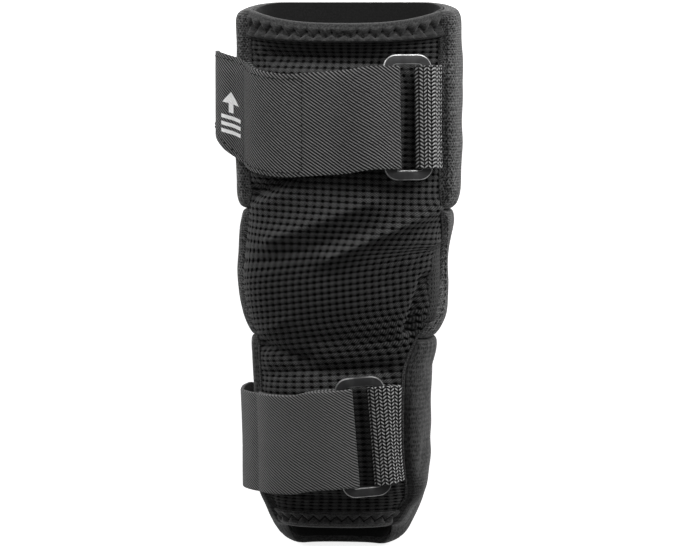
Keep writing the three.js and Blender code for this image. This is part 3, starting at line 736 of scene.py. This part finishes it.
def swell(cover, columns, rows):  # the foam pushes the outer cover out between its sewn edges
    before = readPoints(cover)
    count = (columns + 1) * (rows + 1)
    free = np.zeros(len(before), bool)
    across, down = gridSpots(columns, rows)
    free[:count] = (np.minimum(across, 1 - across) > 0.02) & (np.minimum(down, 1 - down) > 0.02)
    sewn = cover.vertex_groups.new(name="sewn")
    sewn.add([int(i) for i in np.flatnonzero(~free)], 1.0, "REPLACE")
    only(cover)
    cloth = cover.modifiers.new("cloth", "CLOTH")
    cloth.settings.quality = 5
    cloth.settings.vertex_group_mass = "sewn"
    cloth.settings.use_pressure = True
    cloth.settings.uniform_pressure_force = padSizes["pressure"]
    cloth.settings.tension_stiffness = cloth.settings.compression_stiffness = 30
    cloth.settings.effector_weights.gravity = 0
    for step in range(1, padSizes["steps"] + 1):
        bpy.context.scene.frame_set(step)
    bpy.ops.object.modifier_apply(modifier=cloth.name)
    bpy.context.scene.frame_set(1)
    moved = readPoints(cover) - before
    length = np.linalg.norm(moved, axis=1)[:, None]
    moved *= np.minimum(1, padSizes["mostSwell"] * mm / np.maximum(length, 1e-9))
    after = before + moved
    after[:, 2] = np.maximum(after[:, 2], 0)
    writePoints(cover, after)
    held = float(np.mean(length[:count][free[:count]] > padSizes["mostSwell"] * mm))
    most = float(np.max(length)) / mm
    print(cover.name, "swelled by up to", round(most, 2), "mm, share held back", round(held, 2))


for name, block in padBlocks.items():
    pad = shellPiece(name + "_cover", padSizes["columns"], block["rows"], padFaces(block))
    swell(pad, padSizes["columns"], block["rows"])
    applyModifier(pad, "SUBSURF", levels=1, render_levels=1)
    finishPiece(pad, forearmKnit if name == "forearm_pad" else padKnit, "cover", name)
print("foam blocks made")

# liner
linerSizes = {"gap": 0.5, "thickness": 1.2, "from": 0.3, "to": 278, "columns": 72, "rows": 96}


def linerFaces(across, down):
    along = linerSizes["from"] + down * (linerSizes["to"] - linerSizes["from"])
    inset = degreesFor(linerSizes["gap"], along)
    left = leftEdge(along) - 360 + inset
    angle = left + (rightEdge(along) - inset - left) * across
    outer = -linerSizes["gap"]
    return armPoint(angle, outer, along), armPoint(angle, outer - linerSizes["thickness"], along)


liner = shellPiece("liner_cloth", linerSizes["columns"], linerSizes["rows"], linerFaces)
finishPiece(liner, linerCloth, "liner", "liner")
print("liner made")

# mesh panel
foldHeight, foldWidth = 3, 8
foldLines = (  # folds, then small wrinkles: from x, from along, to x, to along, height, width, as shares
    (0.98, 0.36, -0.14, 0.452, 1.3, 0.55),
    (0.3, 0.35, -0.7, 0.42, 0.95, 0.85),
    (-0.98, 0.34, -0.45, 0.3, -1.8, 0.6),
    (0.85, 0.49, 0.68, 0.58, -1.4, 0.45),
    (-0.92, 0.61, -0.4, 0.635, -1.3, 0.6),
    (0.93, 0.425, 0.66, 0.46, 0.35, 0.3),
    (0.9, 0.4, 0.45, 0.5, -0.3, 0.4),
    (0.8, 0.445, 0.55, 0.53, -0.25, 0.35),
    (0.95, 0.385, 0.3, 0.43, -0.35, 0.45),
    (0.3, 0.40, -0.8, 0.455, -0.3, 0.6),
    (-0.95, 0.30, -0.35, 0.265, 0.35, 0.5),
    (-0.95, 0.365, -0.55, 0.335, 0.3, 0.5),
    (-0.9, 0.60, -0.55, 0.56, 0.3, 0.5),
    (-0.95, 0.655, -0.3, 0.665, 0.3, 0.5),
    (-0.75, 0.66, 0.45, 0.652, -1.2, 0.8),
    (0.62, 0.60, 0.35, 0.665, 0.3, 0.4),
    (-0.85, 0.905, 0.3, 0.93, -0.35, 0.5),
    (-0.7, 0.88, -0.35, 0.935, 0.25, 0.35),
    (-0.98, 0.065, -0.74, 0.115, 0.4, 0.18),
    (-0.75, 0.095, 0.65, 0.112, -1.4, 1.0),
)


def foldLift(x, along):
    lift = np.zeros_like(x)
    for fromX, fromAlong, toX, toAlong, height, width in foldLines:
        start = np.array([fromX * armShape["halfWidth"], fromAlong * armShape["length"]])
        line = np.array([toX * armShape["halfWidth"], toAlong * armShape["length"]]) - start
        offset = np.stack([x, along], -1) - start
        share = np.clip(offset @ line / (line @ line), 0, 1)
        distance = np.linalg.norm(offset - share[..., None] * line, axis=-1) / (width * foldWidth)
        # a tight crest on a wide swell
        profile = 0.75 * np.exp(-distance**2) + 0.45 * np.exp(-((distance / 0.38) ** 2))
        lift = lift + height * foldHeight * profile
    return lift


gussetSizes = {"width": 26, "thickness": 1.6, "from": 0.43, "to": 0.57, "inset": 0.5}
gussetCurve = smoothCurve((gussetSizes["from"], 0.465, 0.5, 0.535, gussetSizes["to"]), (0.55, 0.95, 1, 0.75, 0.35))


def gussetAt(along):
    share = along / armShape["length"]
    outside = (share < gussetSizes["from"]) | (share > gussetSizes["to"])
    return np.where(outside, 0, gussetSizes["width"] * gussetCurve(share))


def afterSeam(along):
    return rightEdge(along) + degreesFor(clothSizes["seamGap"], along)


def beforeLeftSeam(along):
    return leftEdge(along) - degreesFor(clothSizes["seamGap"], along)


def afterGusset(along):
    return afterSeam(along) + degreesFor(gussetAt(along), along)


def beforeGusset(along):
    return afterGusset(along) - degreesFor(clothSizes["seamGap"], along)


def meshPoint(angle, lift, along):
    flat = armPoint(angle, 0, along)
    fromSeam = np.minimum(angle - rightEdge(along), leftEdge(along) - angle)
    fromSeam = fromSeam / degreesFor(padSizes["edgeRoll"], along)
    folds = foldLift(flat[..., 0] - armOrigin[0], along) * easeBetween(fromSeam, 0, 1)
    return armPoint(angle, folds + lift, along)


meshSizes = {
    "holeAcross": 4.1, "holeDown": 3.0, "holeWidth": 2.15, "holeHeight": 1.8, "yarn": 0.4, "holeDepth": 0.8,
    "from": 2.5, "to": 279.5, "columns": 39, "rows": 100,
    # how far the columns of holes have moved sideways and apart, and how the rows lean, along the arm
    "drift": ((0, 0), (100, 0), (140, -6), (155, -6), (185, 7), (215, 10), (282, 13)),
    "stretch": ((0, 1.0), (100, 0.95), (130, 0.86), (158, 0.86), (178, 1.12), (282, 1.12)),
    "lean": ((0, 0.0), (95, 0.04), (118, 0.02), (132, -0.11), (165, -0.12), (190, -0.05), (225, 0), (282, 0)),
}


def meshTile():
    bpy.ops.object.select_all(action="DESELECT")
    bpy.ops.mesh.primitive_plane_add(size=1, location=(0, 0, 0))
    tile = named("mesh_face")
    bpy.ops.object.mode_set(mode="EDIT")
    bpy.ops.mesh.select_all(action="SELECT")
    bpy.ops.mesh.subdivide(number_cuts=3)
    bpy.ops.mesh.select_all(action="DESELECT")
    bpy.ops.object.mode_set(mode="OBJECT")
    for vertex in tile.data.vertices:  # the middle vertex goes, and its four faces with it
        vertex.select = vertex.co.length < 0.01
    bpy.ops.object.mode_set(mode="EDIT")
    bpy.ops.mesh.delete(type="VERT")
    bpy.ops.object.mode_set(mode="OBJECT")
    for vertex in tile.data.vertices:
        vertex.select = max(abs(vertex.co.x), abs(vertex.co.y)) < 0.3
    for edge in tile.data.edges:
        edge.select = all(tile.data.vertices[i].select for i in edge.vertices)
    bpy.ops.object.mode_set(mode="EDIT")
    bpy.ops.transform.tosphere(value=1)
    bpy.ops.mesh.select_mode(type="EDGE")
    bpy.ops.mesh.extrude_edges_move(TRANSFORM_OT_translate={"value": (0, 0, -1)})
    bpy.ops.mesh.select_mode(type="VERT")
    bpy.ops.object.mode_set(mode="OBJECT")
    points = readPoints(tile)
    ring = np.hypot(points[:, 0], points[:, 1]) < 0.33
    rim = points[ring, :2] / np.linalg.norm(points[ring, :2], axis=1)[:, None] / 2
    points[ring, 0] = rim[:, 0] * meshSizes["holeWidth"] / meshSizes["holeAcross"]
    points[ring, 1] = rim[:, 1] * meshSizes["holeHeight"] / meshSizes["holeDown"]
    top = points[:, 2] > -0.5
    # a ridge of yarn between the rows of holes, lowest in the groove that joins the holes
    ridge = (1 - np.cos(2 * math.pi * points[:, 1])) / 2
    points[:, 2] = np.where(top, ridge * meshSizes["yarn"], -meshSizes["holeDepth"])
    points[:, 0] *= meshSizes["holeAcross"]
    points[:, 1] *= meshSizes["holeDown"]
    writePoints(tile, points)
    return tile


def makeMeshFace():
    face = meshTile()
    columns, rows = meshSizes["columns"], meshSizes["rows"]
    for count, towards in ((columns, (1, 0, 0)), (rows, (0, 1, 0))):
        applyModifier(face, "ARRAY", count=count, relative_offset_displace=towards, use_merge_vertices=True,
                      merge_threshold=0.001)
    points = readPoints(face)
    across = points[:, 0] - columns * meshSizes["holeAcross"] / 2
    base = points[:, 1] - 2 * meshSizes["holeDown"]
    drift, stretch, lean = (smoothCurve(*zip(*meshSizes[key]))(base) for key in ("drift", "stretch", "lean"))
    along = base + lean * (across - 5)
    weave = np.stack([across, base, points[:, 2]], -1) * mm
    across = across * stretch + drift
    # lengths round the arm become angles, from the middle of the mesh
    along = np.clip(along, meshSizes["from"], meshSizes["to"])
    row = np.round(along).astype(int)
    angle = np.empty_like(across)
    for station in np.unique(row):
        here = row == station
        turns, lengths = arcTable(station)
        angle[here] = np.interp(-across[here], lengths, turns)
    first = afterGusset(along) + 0.1
    last = beforeLeftSeam(along) - 0.1
    outside = (angle < first) | (angle > last) | (along <= meshSizes["from"]) | (along >= meshSizes["to"])
    angle = np.clip(angle, first, last)
    lift = clothSizes["mesh"] - meshSizes["yarn"] + points[:, 2]
    writePoints(face, meshPoint(angle, lift, along) * mm)
    writeWeave(face, weave)
    only(face)
    for group in (face.data.vertices, face.data.edges):
        group.foreach_set("select", np.zeros(len(group), bool))
    for polygon in face.data.polygons:
        polygon.select = all(outside[i] for i in polygon.vertices)
    bpy.ops.object.mode_set(mode="EDIT")
    bpy.ops.mesh.select_mode(type="FACE")
    bpy.ops.mesh.delete(type="FACE")
    bpy.ops.mesh.select_mode(type="VERT")
    bpy.ops.mesh.select_all(action="SELECT")
    bpy.ops.mesh.delete_loose()
    bpy.ops.mesh.remove_doubles(threshold=0.00001)
    bpy.ops.object.mode_set(mode="OBJECT")
    return face


meshFace = makeMeshFace()
finishPiece(meshFace, meshYarn, "mesh", angle=70)


def sheetBetween(start, end, low, high, fromAlong, toAlong):
    def place(across, down):
        along = fromAlong + (toAlong - fromAlong) * down
        angle = start(along) + (end(along) - start(along)) * across
        return meshPoint(angle, high, along), meshPoint(angle, low, along)
    return place


meshBack = shellPiece("mesh_back", 60, 140, sheetBetween(afterGusset, beforeLeftSeam, 0.0, 0.5, 2, 280))
finishPiece(meshBack, meshBacking, "mesh", "mesh_panel")
print("mesh made", len(meshFace.data.polygons))

# gusset of finer mesh at the right of the elbow
gussetFrom = gussetSizes["from"] * armShape["length"] + gussetSizes["inset"]
gussetTo = gussetSizes["to"] * armShape["length"] - gussetSizes["inset"]
gusset = shellPiece("elbow_gusset_cloth", 16, 40,
                    sheetBetween(afterSeam, beforeGusset, 0.0, gussetSizes["thickness"], gussetFrom, gussetTo))
finishPiece(gusset, gussetKnit, "mesh", "elbow_gusset")
print("gusset made")

# hems
hemSizes = {
    "columns": 250, "foldRows": 8, "outerRows": 26, "puffWidth": 1.7, "dentWidth": 0.7, "fromSeam": 1.5,
    "thread": 0.55, "needleHole": 1.25, "needleDepth": 0.9,
}
hemEnds = {  # the zigzag's middle and reach are lengths along the arm
    "shoulder_hem": {"from": 0.0, "to": 15, "middle": 7.8, "reach": 2.3, "pitch": 5.9, "puff": 1.3, "dent": 1.2,
                     "thread": threadGrey},
    "wrist_hem": {"from": 282, "to": 272, "middle": 276.4, "reach": 1.6, "pitch": 5.3, "puff": 0.8, "dent": 0.9,
                  "thread": threadDark},
}
hemTop = clothSizes["mesh"] + strapSizes["gap"] + clothSizes["hem"]


def hemLine(end, to):  # the cloth's middle, from inside the sleeve, round the fold, to the outer edge
    cloth, gap = clothSizes["hem"], strapSizes["gap"]
    inside, outside = -gap - cloth / 2, clothSizes["mesh"] + gap + cloth / 2
    radius, middle = (outside - inside) / 2, (outside + inside) / 2
    towards = 1 if to > end else -1
    line = [(to, inside)]
    for i in range(hemSizes["foldRows"] + 1):
        turn = math.pi * i / hemSizes["foldRows"]
        line.append((end + towards * (radius * (1 - math.sin(turn)) + cloth / 2), middle - radius * math.cos(turn)))
    start = line[-1][0]
    for i in range(1, hemSizes["outerRows"] + 1):
        share = i / hemSizes["outerRows"]
        line.append((start + (to - start) * share, outside))
    return np.array(line)


def zigzag(sizes, length):  # place of the zigzag along the arm, at a length round the mesh side
    turn = length / sizes["pitch"]
    return sizes["middle"] + sizes["reach"] * (4 * np.abs(turn - np.floor(turn + 0.5)) - 1)


def hemPuff(sizes, angle, along):  # the cloth swells between the stitches and dips under them
    turns, lengths = arcTable(sizes["middle"])
    slope = 4 * sizes["reach"] / sizes["pitch"]
    distance = np.abs(along - zigzag(sizes, np.interp(angle, turns, lengths))) / math.hypot(1, slope)
    full = abs(sizes["to"] - sizes["from"])
    share = np.abs(along - sizes["from"]) / full
    taper = easeBetween(share, 0.08, 0.3) * easeBetween(1 - share, 0, 0.12)
    puff = sizes["puff"] * (1 - np.exp(-((distance / hemSizes["puffWidth"]) ** 2)))
    return taper * (puff - sizes["dent"] * np.exp(-((distance / hemSizes["dentWidth"]) ** 2)))


def makeHem(name, sizes):
    line = hemLine(sizes["from"], sizes["to"])
    places = np.linspace(0, 1, len(line))
    outerFrom = (hemSizes["foldRows"] + 1.5) / (len(line) - 1)
    towards = 1 if sizes["to"] > sizes["from"] else -1
    half = clothSizes["hem"] / 2

    def place(across, down):
        along = np.interp(down, places, line[:, 0])
        lift = np.interp(down, places, line[:, 1])
        angle = afterSeam(along) + (beforeLeftSeam(along) - afterSeam(along)) * across
        step = 0.02
        nextAlong, nextLift = (np.interp(down + step, places, line[:, i]) - np.interp(down - step, places, line[:, i])
                               for i in (0, 1))
        length = np.hypot(nextAlong, nextLift)
        alongNormal, liftNormal = -towards * nextLift / length, towards * nextAlong / length
        puff = np.where(down > outerFrom, hemPuff(sizes, angle, along), 0)
        return (armPoint(angle, lift + half * liftNormal + puff, along + half * alongNormal),
                armPoint(angle, lift - half * liftNormal, along - half * alongNormal))

    hem = shellPiece(name + "_cloth", hemSizes["columns"], len(line) - 1, place)
    finishPiece(hem, hemCloth, "hem", name)
    return hem


def seamToSeam(along):  # both ends of the mesh side, as lengths from its middle
    return np.interp([afterSeam(along), beforeLeftSeam(along)], *arcTable(along))


def hemFlat(sizes):  # width and length of the cloth before it was folded over the end
    line = hemLine(sizes["from"], sizes["to"])
    ends = seamToSeam(sizes["middle"])
    return (ends[1] - ends[0]) * mm, np.sum(np.linalg.norm(np.diff(line, axis=0), axis=1)) * mm


def makeZigzag(name, sizes):
    turns, lengths = arcTable(sizes["middle"])
    first, last = seamToSeam(sizes["middle"]) + [hemSizes["fromSeam"], -hemSizes["fromSeam"]]
    half = sizes["pitch"] / 2
    corners = np.arange(math.ceil(first / half), math.floor(last / half) + 1) * half
    angles, alongs = np.interp(corners, lengths, turns), zigzag(sizes, corners)

    def over(lift):
        return armPoint(angles, hemTop - sizes["dent"] + lift, alongs)

    knots, outs = over(0.1), over(1) - over(0)
    stitchRow(name + "_zigzag", knots[:-1], knots[1:], outs[:-1], hemSizes["thread"], sizes["thread"], "hem", rise=0.3)
    downSeam = armPoint(angles, hemTop - sizes["dent"] + 0.1, alongs + hemSizes["needleDepth"])
    stitchRow(name + "_needle_holes", knots * 1.5 - downSeam * 0.5, knots * 0.5 + downSeam * 0.5, outs,
              hemSizes["needleHole"], needleHole, "hem", rise=0)


hems = {name: makeHem(name, sizes) for name, sizes in hemEnds.items()}
for name, sizes in hemEnds.items():
    makeZigzag(name, sizes)
print("hems made")

# seams between the pads and the mesh
seamSizes = {"tapeWidth": 2.3, "tapeLift": 2.05, "tapeThickness": 0.7, "fromEdge": 1.0, "dash": 2.1, "dashPitch": 3.1,
             "thread": 0.6, "fromEnd": 4, "cordInset": 0.35, "cordWidth": 1.2, "cordRound": 0.45, "cordTop": 1.15,
             "cordBottom": 0.75, "overlockFrom": 15.5, "overlockTo": 30, "overlockPitch": 1.05}


def makeTape(name, start, side, fromAlong, toAlong):  # narrow turned edge of the mesh beside its seam
    def place(across, down):
        along = fromAlong + (toAlong - fromAlong) * down
        angle = start(along) + side * degreesFor(seamSizes["tapeWidth"], along) * across
        crown = seamSizes["tapeThickness"] * np.sqrt(np.clip(1 - (2 * across - 1) ** 2, 0.04, 1))
        ends = easeBetween(np.minimum(down, 1 - down) * (toAlong - fromAlong), 0, 2) * 0.8 + 0.2
        lift = seamSizes["tapeLift"]
        return meshPoint(angle, lift + crown * ends, along), meshPoint(angle, lift - 0.1, along)

    finishPiece(shellPiece(name, 6, 130, place), seamEdge, "mesh")


makeTape("upper_seam_edge_right", afterSeam, 1, 16, 120)
makeTape("lower_seam_edge_right", afterSeam, 1, 162, 270)
makeTape("upper_seam_edge_left", beforeLeftSeam, -1, 16, 103)
makeTape("lower_seam_edge_left", beforeLeftSeam, -1, 168, 270)


def makeSeamCord(name, edge, side):  # the cloths' edges sewn together, which fills the seam
    def place(across, down):
        along = 1 + (armShape["length"] - 2) * down
        angle = edge(along) + side * degreesFor(-seamSizes["cordInset"] + seamSizes["cordWidth"] * across, along)
        rounding = seamSizes["cordRound"] * np.sqrt(np.clip(1 - (2 * across - 1) ** 2, 0, 1))
        return (armPoint(angle, seamSizes["cordTop"] + rounding, along),
                armPoint(angle, seamSizes["cordBottom"] - rounding, along))

    finishPiece(shellPiece(name, 6, 150, place), threadDark, "cover")


makeSeamCord("seam_cord_right", rightEdge, 1)
makeSeamCord("seam_cord_left", leftEdge, -1)


def padSeam(block, edge, side):
    def place(along, lift):
        angle = edge(along) - side * degreesFor(seamSizes["fromEdge"], along)
        around = angle - 360 if side < 0 else angle
        return armPoint(angle, padLift(block, around, along) + 0.05 + lift, along)
    return place


seamStitches = {  # edge, direction of the foam's outside, thread, share of its size, share of its pitch
    "right": (rightEdge, 1, threadDark, 1.0, 1),
    "left": (leftEdge, -1, threadGrey, 0.55, 0.75),
}
for name, block in padBlocks.items():
    for side, (edge, towards, thread, size, pitch) in seamStitches.items():
        stops = np.arange(block["from"] + seamSizes["fromEnd"], block["to"] - seamSizes["fromEnd"],
                          seamSizes["dashPitch"] * pitch)
        stitchesAlong(name + "_seam_stitches_" + side, padSeam(block, edge, towards), stops,
                      seamSizes["dash"] * size, seamSizes["thread"] * (0.6 + 0.4 * size), thread, "cover")

overlock = np.arange(seamSizes["overlockFrom"], seamSizes["overlockTo"], seamSizes["overlockPitch"])
stitchRow("overlocked_edge", armPoint(afterSeam(overlock) - degreesFor(0.9, overlock), 2.7, overlock),
          armPoint(afterSeam(overlock) + degreesFor(2.9, overlock), 2.9, overlock + 0.8),
          armPoint(afterSeam(overlock), 3, overlock) - armPoint(afterSeam(overlock), 2, overlock),
          0.5, threadGrey, "mesh", rise=0.6)
print("seams made")


# straps and webbing
webbingRibs = {"pitch": 1.98, "depth": 0.24, "grooveWidth": 0.35}


def strapLine(strap, fine=3):
    plane = ringPlane(strap)
    barAngle = strap["ringAngle"] + degreesFor(barCentre, strap["along"])
    seamAngle = beforeLeftSeam(strap["along"])
    barBody = armPoint(barAngle, underLift, strap["along"])
    driftCurve, tailCurve = smoothCurve(*zip(*strap["drift"])), smoothCurve(*zip(*strap["tail"]))

    def layer(angle, lift, height):
        distance = np.linalg.norm(armPoint(angle, underLift, strap["along"]) - barBody)
        onArm = easeBetween(distance, ringSizes["bar"], strapSizes["blend"])
        line = strap["along"] - strap["driftRise"] * driftCurve(abs(barAngle - angle) / strap["driftTurn"])
        lineAcross = armPoint(angle, lift, line)[1]

        def station(v):
            onCurve = armPoint(angle, lift, line - v)
            onCurve[..., 1] = lineAcross + v  # the strap keeps its width
            return (1 - onArm) * planePoint(plane, -barCentre - distance, v, height) + onArm * onCurve

        return station

    under, over = [], []
    steps = 13 * fine
    underEnd = seamAngle - degreesFor(padSizes["edgeRoll"] / 2, strap["along"])
    for i in range(1, steps + 1):
        share = i / steps
        under.insert(0, layer(barAngle + (underEnd - barAngle) * share, underLift, -strapBarOffset))
        over.append(layer(barAngle + (strap["tailStart"] - barAngle) * share, outerLift, strapBarOffset))
    for i in range(1, 10 * fine + 1):
        share = i / (10 * fine)
        tailLift = strap["tailStandOff"] * tailCurve(share)
        over.append(layer(strap["tailStart"] + share * strap["tailTurn"], tailLift, strapBarOffset))
    return under + foldLine(plane, 1, strapBarOffset, 5 * fine) + over


def foldLine(plane, side, offset, steps):  # half a turn round the end of a bar
    centre = -side * (barCentre - ringSizes["bar"] / 2) + side * strapSizes["slack"]

    def station(turn):
        return lambda v: planePoint(plane, centre + side * offset * math.cos(turn), v, offset * math.sin(turn))

    return [station(math.pi * (i / steps - 0.5)) for i in range(steps + 1)]


def bandPiece(name, line, columns, thickness, edges, ribbed=False):
    lengths = lengthsAlong(np.array([station(0.0) for station in line]).reshape(-1, 3))
    total = lengths[-1]
    shares = np.linspace(0, 1, columns + 1)
    middleRows, normalRows, acrossRows = [], [], []
    for i, station in enumerate(line):
        upper, lower = edges(total - lengths[i])
        v = -lower + (upper + lower) * shares
        before, after = line[max(i - 1, 0)], line[min(i + 1, len(line) - 1)]
        ahead = after(v) - before(v)
        side = station(v + 1) - station(v - 1)
        normal = np.cross(ahead, side)
        middleRows.append(station(v))
        normalRows.append(normal / np.linalg.norm(normal, axis=1)[:, None])
        acrossRows.append(v)
    middleRows, normalRows = np.array(middleRows), np.array(normalRows)

    def nearest(across, down):
        return np.round(down * (len(line) - 1)).astype(int), np.round(across * columns).astype(int)

    def place(across, down):
        row, column = nearest(across, down)
        middle, normal = middleRows[row, column], normalRows[row, column]
        half = np.full((len(row), 1), thickness / 2)
        if ribbed:
            left = (total - lengths[row]) / webbingRibs["pitch"]
            groove = np.abs(left - np.round(left)) * webbingRibs["pitch"]
            half[:, 0] -= webbingRibs["depth"] * np.exp(-((groove / webbingRibs["grooveWidth"]) ** 2))
        return middle + normal * half, middle - normal * half

    piece = shellPiece(name, columns, len(line) - 1, place)
    row, column = nearest(*gridSpots(columns, len(line) - 1))
    weave = np.stack([lengths[row] - total, np.array(acrossRows)[row, column], np.zeros(len(row))], -1) * mm
    writeWeave(piece, np.concatenate([weave, weave + [0, 0, mm]]))
    return piece, {"line": line, "lengths": lengths, "thickness": thickness}


def bandPoint(band, remaining, v, lift):  # a point over the outer face, by the length left to the free end
    line, lengths = band["line"], band["lengths"]
    at = lengths[-1] - remaining
    i = int(np.clip(np.searchsorted(lengths, at) - 1, 0, len(line) - 2))
    share = (at - lengths[i]) / (lengths[i + 1] - lengths[i])
    ahead = line[min(i + 2, len(line) - 1)](v) - line[max(i - 1, 0)](v)
    normal = np.cross(ahead, line[i](v + 1) - line[i](v - 1))
    point = (1 - share) * line[i](v) + share * line[i + 1](v)
    outwards = 1 if normal[2] > 0 else -1  # every face with stitches looks up
    return point + outwards * normal / np.linalg.norm(normal) * (band["thickness"] / 2 + lift)


def bandStitches(name, band, path, pitch, share, thickness, material, slot):
    # path is a list of places, each the length left to the free end and the place across
    path = np.array(path, float)
    lengths = lengthsAlong(path)
    stops = np.arange(0.5, math.floor(lengths[-1] / pitch)) * pitch

    def over(at, lift):
        places = zip(*(np.interp(at, lengths, path[:, i]) for i in (0, 1)))
        return np.array([bandPoint(band, remaining, v, lift) for remaining, v in places])

    stitchesAlong(name, over, stops, pitch * share, thickness, material, slot)


def strapEdges(strap):
    half = strapSizes["width"] / 2

    def cornered(radius, remaining):
        return half - radius * (1 - quarterRound((remaining + strapSizes["gap"]) / radius))

    return lambda remaining: (cornered(strap["upperCorner"], remaining), cornered(strap["lowerCorner"], remaining))


def makeStrap(name, strap, material):
    line = strapLine(strap)
    piece, band = bandPiece(name + "_elastic", line, 36, strapSizes["thickness"], strapEdges(strap))
    bevelEdges(piece, strapSizes["bevel"], 2)
    finishPiece(piece, material, "elastic", name)
    return band


upperBand = makeStrap("upper_strap", upperStrap, elasticTwill)
makeStrap("lower_strap", lowerStrap, fineTwill)

strapStitches = {"fromEdge": 2.3, "hookLength": 71, "corner": 12, "pitch": 2.7, "share": 0.62, "thread": 0.45}


def makeHookStitches(name, strap, band, material):  # round the hook patch under the free end, and across its far side
    inset, corner, hookLength = (strapStitches[key] for key in ("fromEdge", "corner", "hookLength"))
    edges = strapEdges(strap)
    turn = np.linspace(0, math.pi / 2, 12)[1:]
    lefts = np.concatenate([np.linspace(hookLength, corner, 12), corner * np.cos(turn) + inset * np.sin(turn)])
    top = [(left, edges(max(left - inset, 0.1))[0] - inset) for left in lefts]
    bottom = [(left, inset - edges(max(left - inset, 0.1))[1]) for left in lefts[::-1]]
    half = strapSizes["width"] / 2
    farSide = [(hookLength, half - inset), (hookLength, inset - half)]
    for kind, path in (("border", top + bottom), ("cross", farSide)):
        bandStitches(name + "_" + kind + "_stitches", band, path, strapStitches["pitch"], strapStitches["share"],
                     strapStitches["thread"], material, "elastic")


makeHookStitches("upper_strap", upperStrap, upperBand, threadDark)


def tabLine(strap, fine=9):
    plane = ringPlane(strap)
    pastBar = ringSizes["width"] / 2 + strapSizes["gap"]
    barEdge = pastBar - ringSizes["bar"]

    def layer(height, lift):
        def towardsSeam(share):
            def station(v):
                along = strap["along"] - v
                seam = armPoint(afterSeam(along) + degreesFor(strapSizes["tabSetback"], along), lift, along)
                bar = planePoint(plane, pastBar, v, height)
                return bar + (seam - bar) * share
            return station
        flat = [(lambda u: lambda v: planePoint(plane, u, v, height))(barEdge + (pastBar - barEdge) * share)
                for share in np.linspace(0.5, 1, 2 * fine)]
        return flat + [towardsSeam(share) for share in np.linspace(0, 1, 4 * fine)[1:]]

    lowerLift = meshTop + strapSizes["webbing"] / 2
    upperLift = lowerLift + strapSizes["webbing"] + strapSizes["gap"]
    return (layer(-webbingBarOffset, lowerLift)[::-1] + foldLine(plane, -1, webbingBarOffset, 5 * fine)
            + layer(webbingBarOffset, upperLift))


tabStitches = {"fromEnd": 2.2, "fromEdge": 1, "pitch": 2.6, "share": 0.65, "thread": 0.5}


def makeTab(name, strap):
    half = strapSizes["width"] / 2
    piece, band = bandPiece(name + "_webbing", tabLine(strap), 40, strapSizes["webbing"],
                            lambda remaining: (half, half), ribbed=True)
    bevelEdges(piece, strapSizes["webbingBevel"], 2)
    finishPiece(piece, webbingCloth, "webbing", name)
    left, reach = tabStitches["fromEnd"], half - tabStitches["fromEdge"]
    bandStitches(name + "_stitches", band, [(left, reach), (left, -reach)], tabStitches["pitch"],
                 tabStitches["share"], tabStitches["thread"], threadDark, "webbing")


def makeRing(name, strap):
    bpy.ops.object.select_all(action="DESELECT")
    bpy.ops.mesh.primitive_plane_add(size=1, location=(0, 0, 0))
    ring = named(name)
    points = readPoints(ring) * [ringSizes["width"], ringSizes["length"], 1]
    writePoints(ring, points * mm)
    bpy.ops.object.mode_set(mode="EDIT")
    bpy.ops.mesh.select_all(action="SELECT")
    bpy.ops.mesh.bevel(affect="VERTICES", offset=ringSizes["corner"] * mm, segments=10)
    bpy.ops.mesh.select_all(action="SELECT")
    bpy.ops.mesh.inset(thickness=ringSizes["bar"] * mm, depth=0)
    bpy.ops.mesh.delete(type="FACE")
    bpy.ops.object.mode_set(mode="OBJECT")
    applyModifier(ring, "SOLIDIFY", thickness=ringSizes["thickness"] * mm, offset=0)
    bevelEdges(ring, ringSizes["bevel"], 3)
    plane = ringPlane(strap)
    u, v, h = readPoints(ring).T / mm
    writePoints(ring, planePoint(plane, u, v, h) * mm)
    finishPiece(ring, [ringEnamel, ringEdgeHighlight], "ring", name.replace("_frame", ""), angle=35)
    for polygon in ring.data.polygons:  # painted highlight: the rounded edges get a bright grey metal, which also shines under the lamps
        polygon.material_index = 1 if 0.25 < abs(polygon.normal @ Vector(plane["out"])) < 0.97 else 0


makeRing("upper_ring_frame", upperStrap)
makeRing("lower_ring_frame", lowerStrap)
makeTab("upper_ring_tab", upperStrap)
makeTab("lower_ring_tab", lowerStrap)
print("straps, rings and webbing made")

# floor and light
studio = {
    "floorSize": 6, "floorGlow": 0.75, "worldStrength": 0.14, "aim": (0, 0, 0.04),
    "lights": {  # place, size, power
        "rightLight": ((0.8, 0.95, 0.62), (0.6, 0.6), 17),
        "leftLight": ((-0.75, 0.95, 0.6), (0.6, 0.6), 13),
        "topLight": ((0.1, 0.5, 1.8), (0.9, 0.7), 3.5),
    },
}
bpy.ops.object.select_all(action="DESELECT")
bpy.ops.mesh.primitive_plane_add(size=studio["floorSize"], location=(0, 0, -0.0004))
floor = named("floor")
# a lit table, so the paper stays white round the pad
floorPaper, _ = newMaterial("floorPaper", color=(0.9, 0.9, 0.9, 1), roughness=0.9, glow=(1, 1, 1, 1),
                            glowStrength=studio["floorGlow"])
floor.data.materials.append(floorPaper)

for name, (place, size, power) in studio["lights"].items():
    bpy.ops.object.light_add(type="AREA", location=place)
    light = named(name)
    light.data.shape = "RECTANGLE"
    light.data.size, light.data.size_y = size
    light.data.energy = power
    light.rotation_mode = "QUATERNION"
    light.rotation_quaternion = (Vector(studio["aim"]) - Vector(place)).to_track_quat("-Z", "Y")

world = bpy.data.worlds.new("studio")
bpy.context.scene.world = world
world.use_nodes = True
background = world.node_tree.nodes["Background"].inputs
background["Color"].default_value = (1, 1, 1, 1)
background["Strength"].default_value = studio["worldStrength"]

for name, hem in hems.items():
    hemFlat(hemEnds[name])
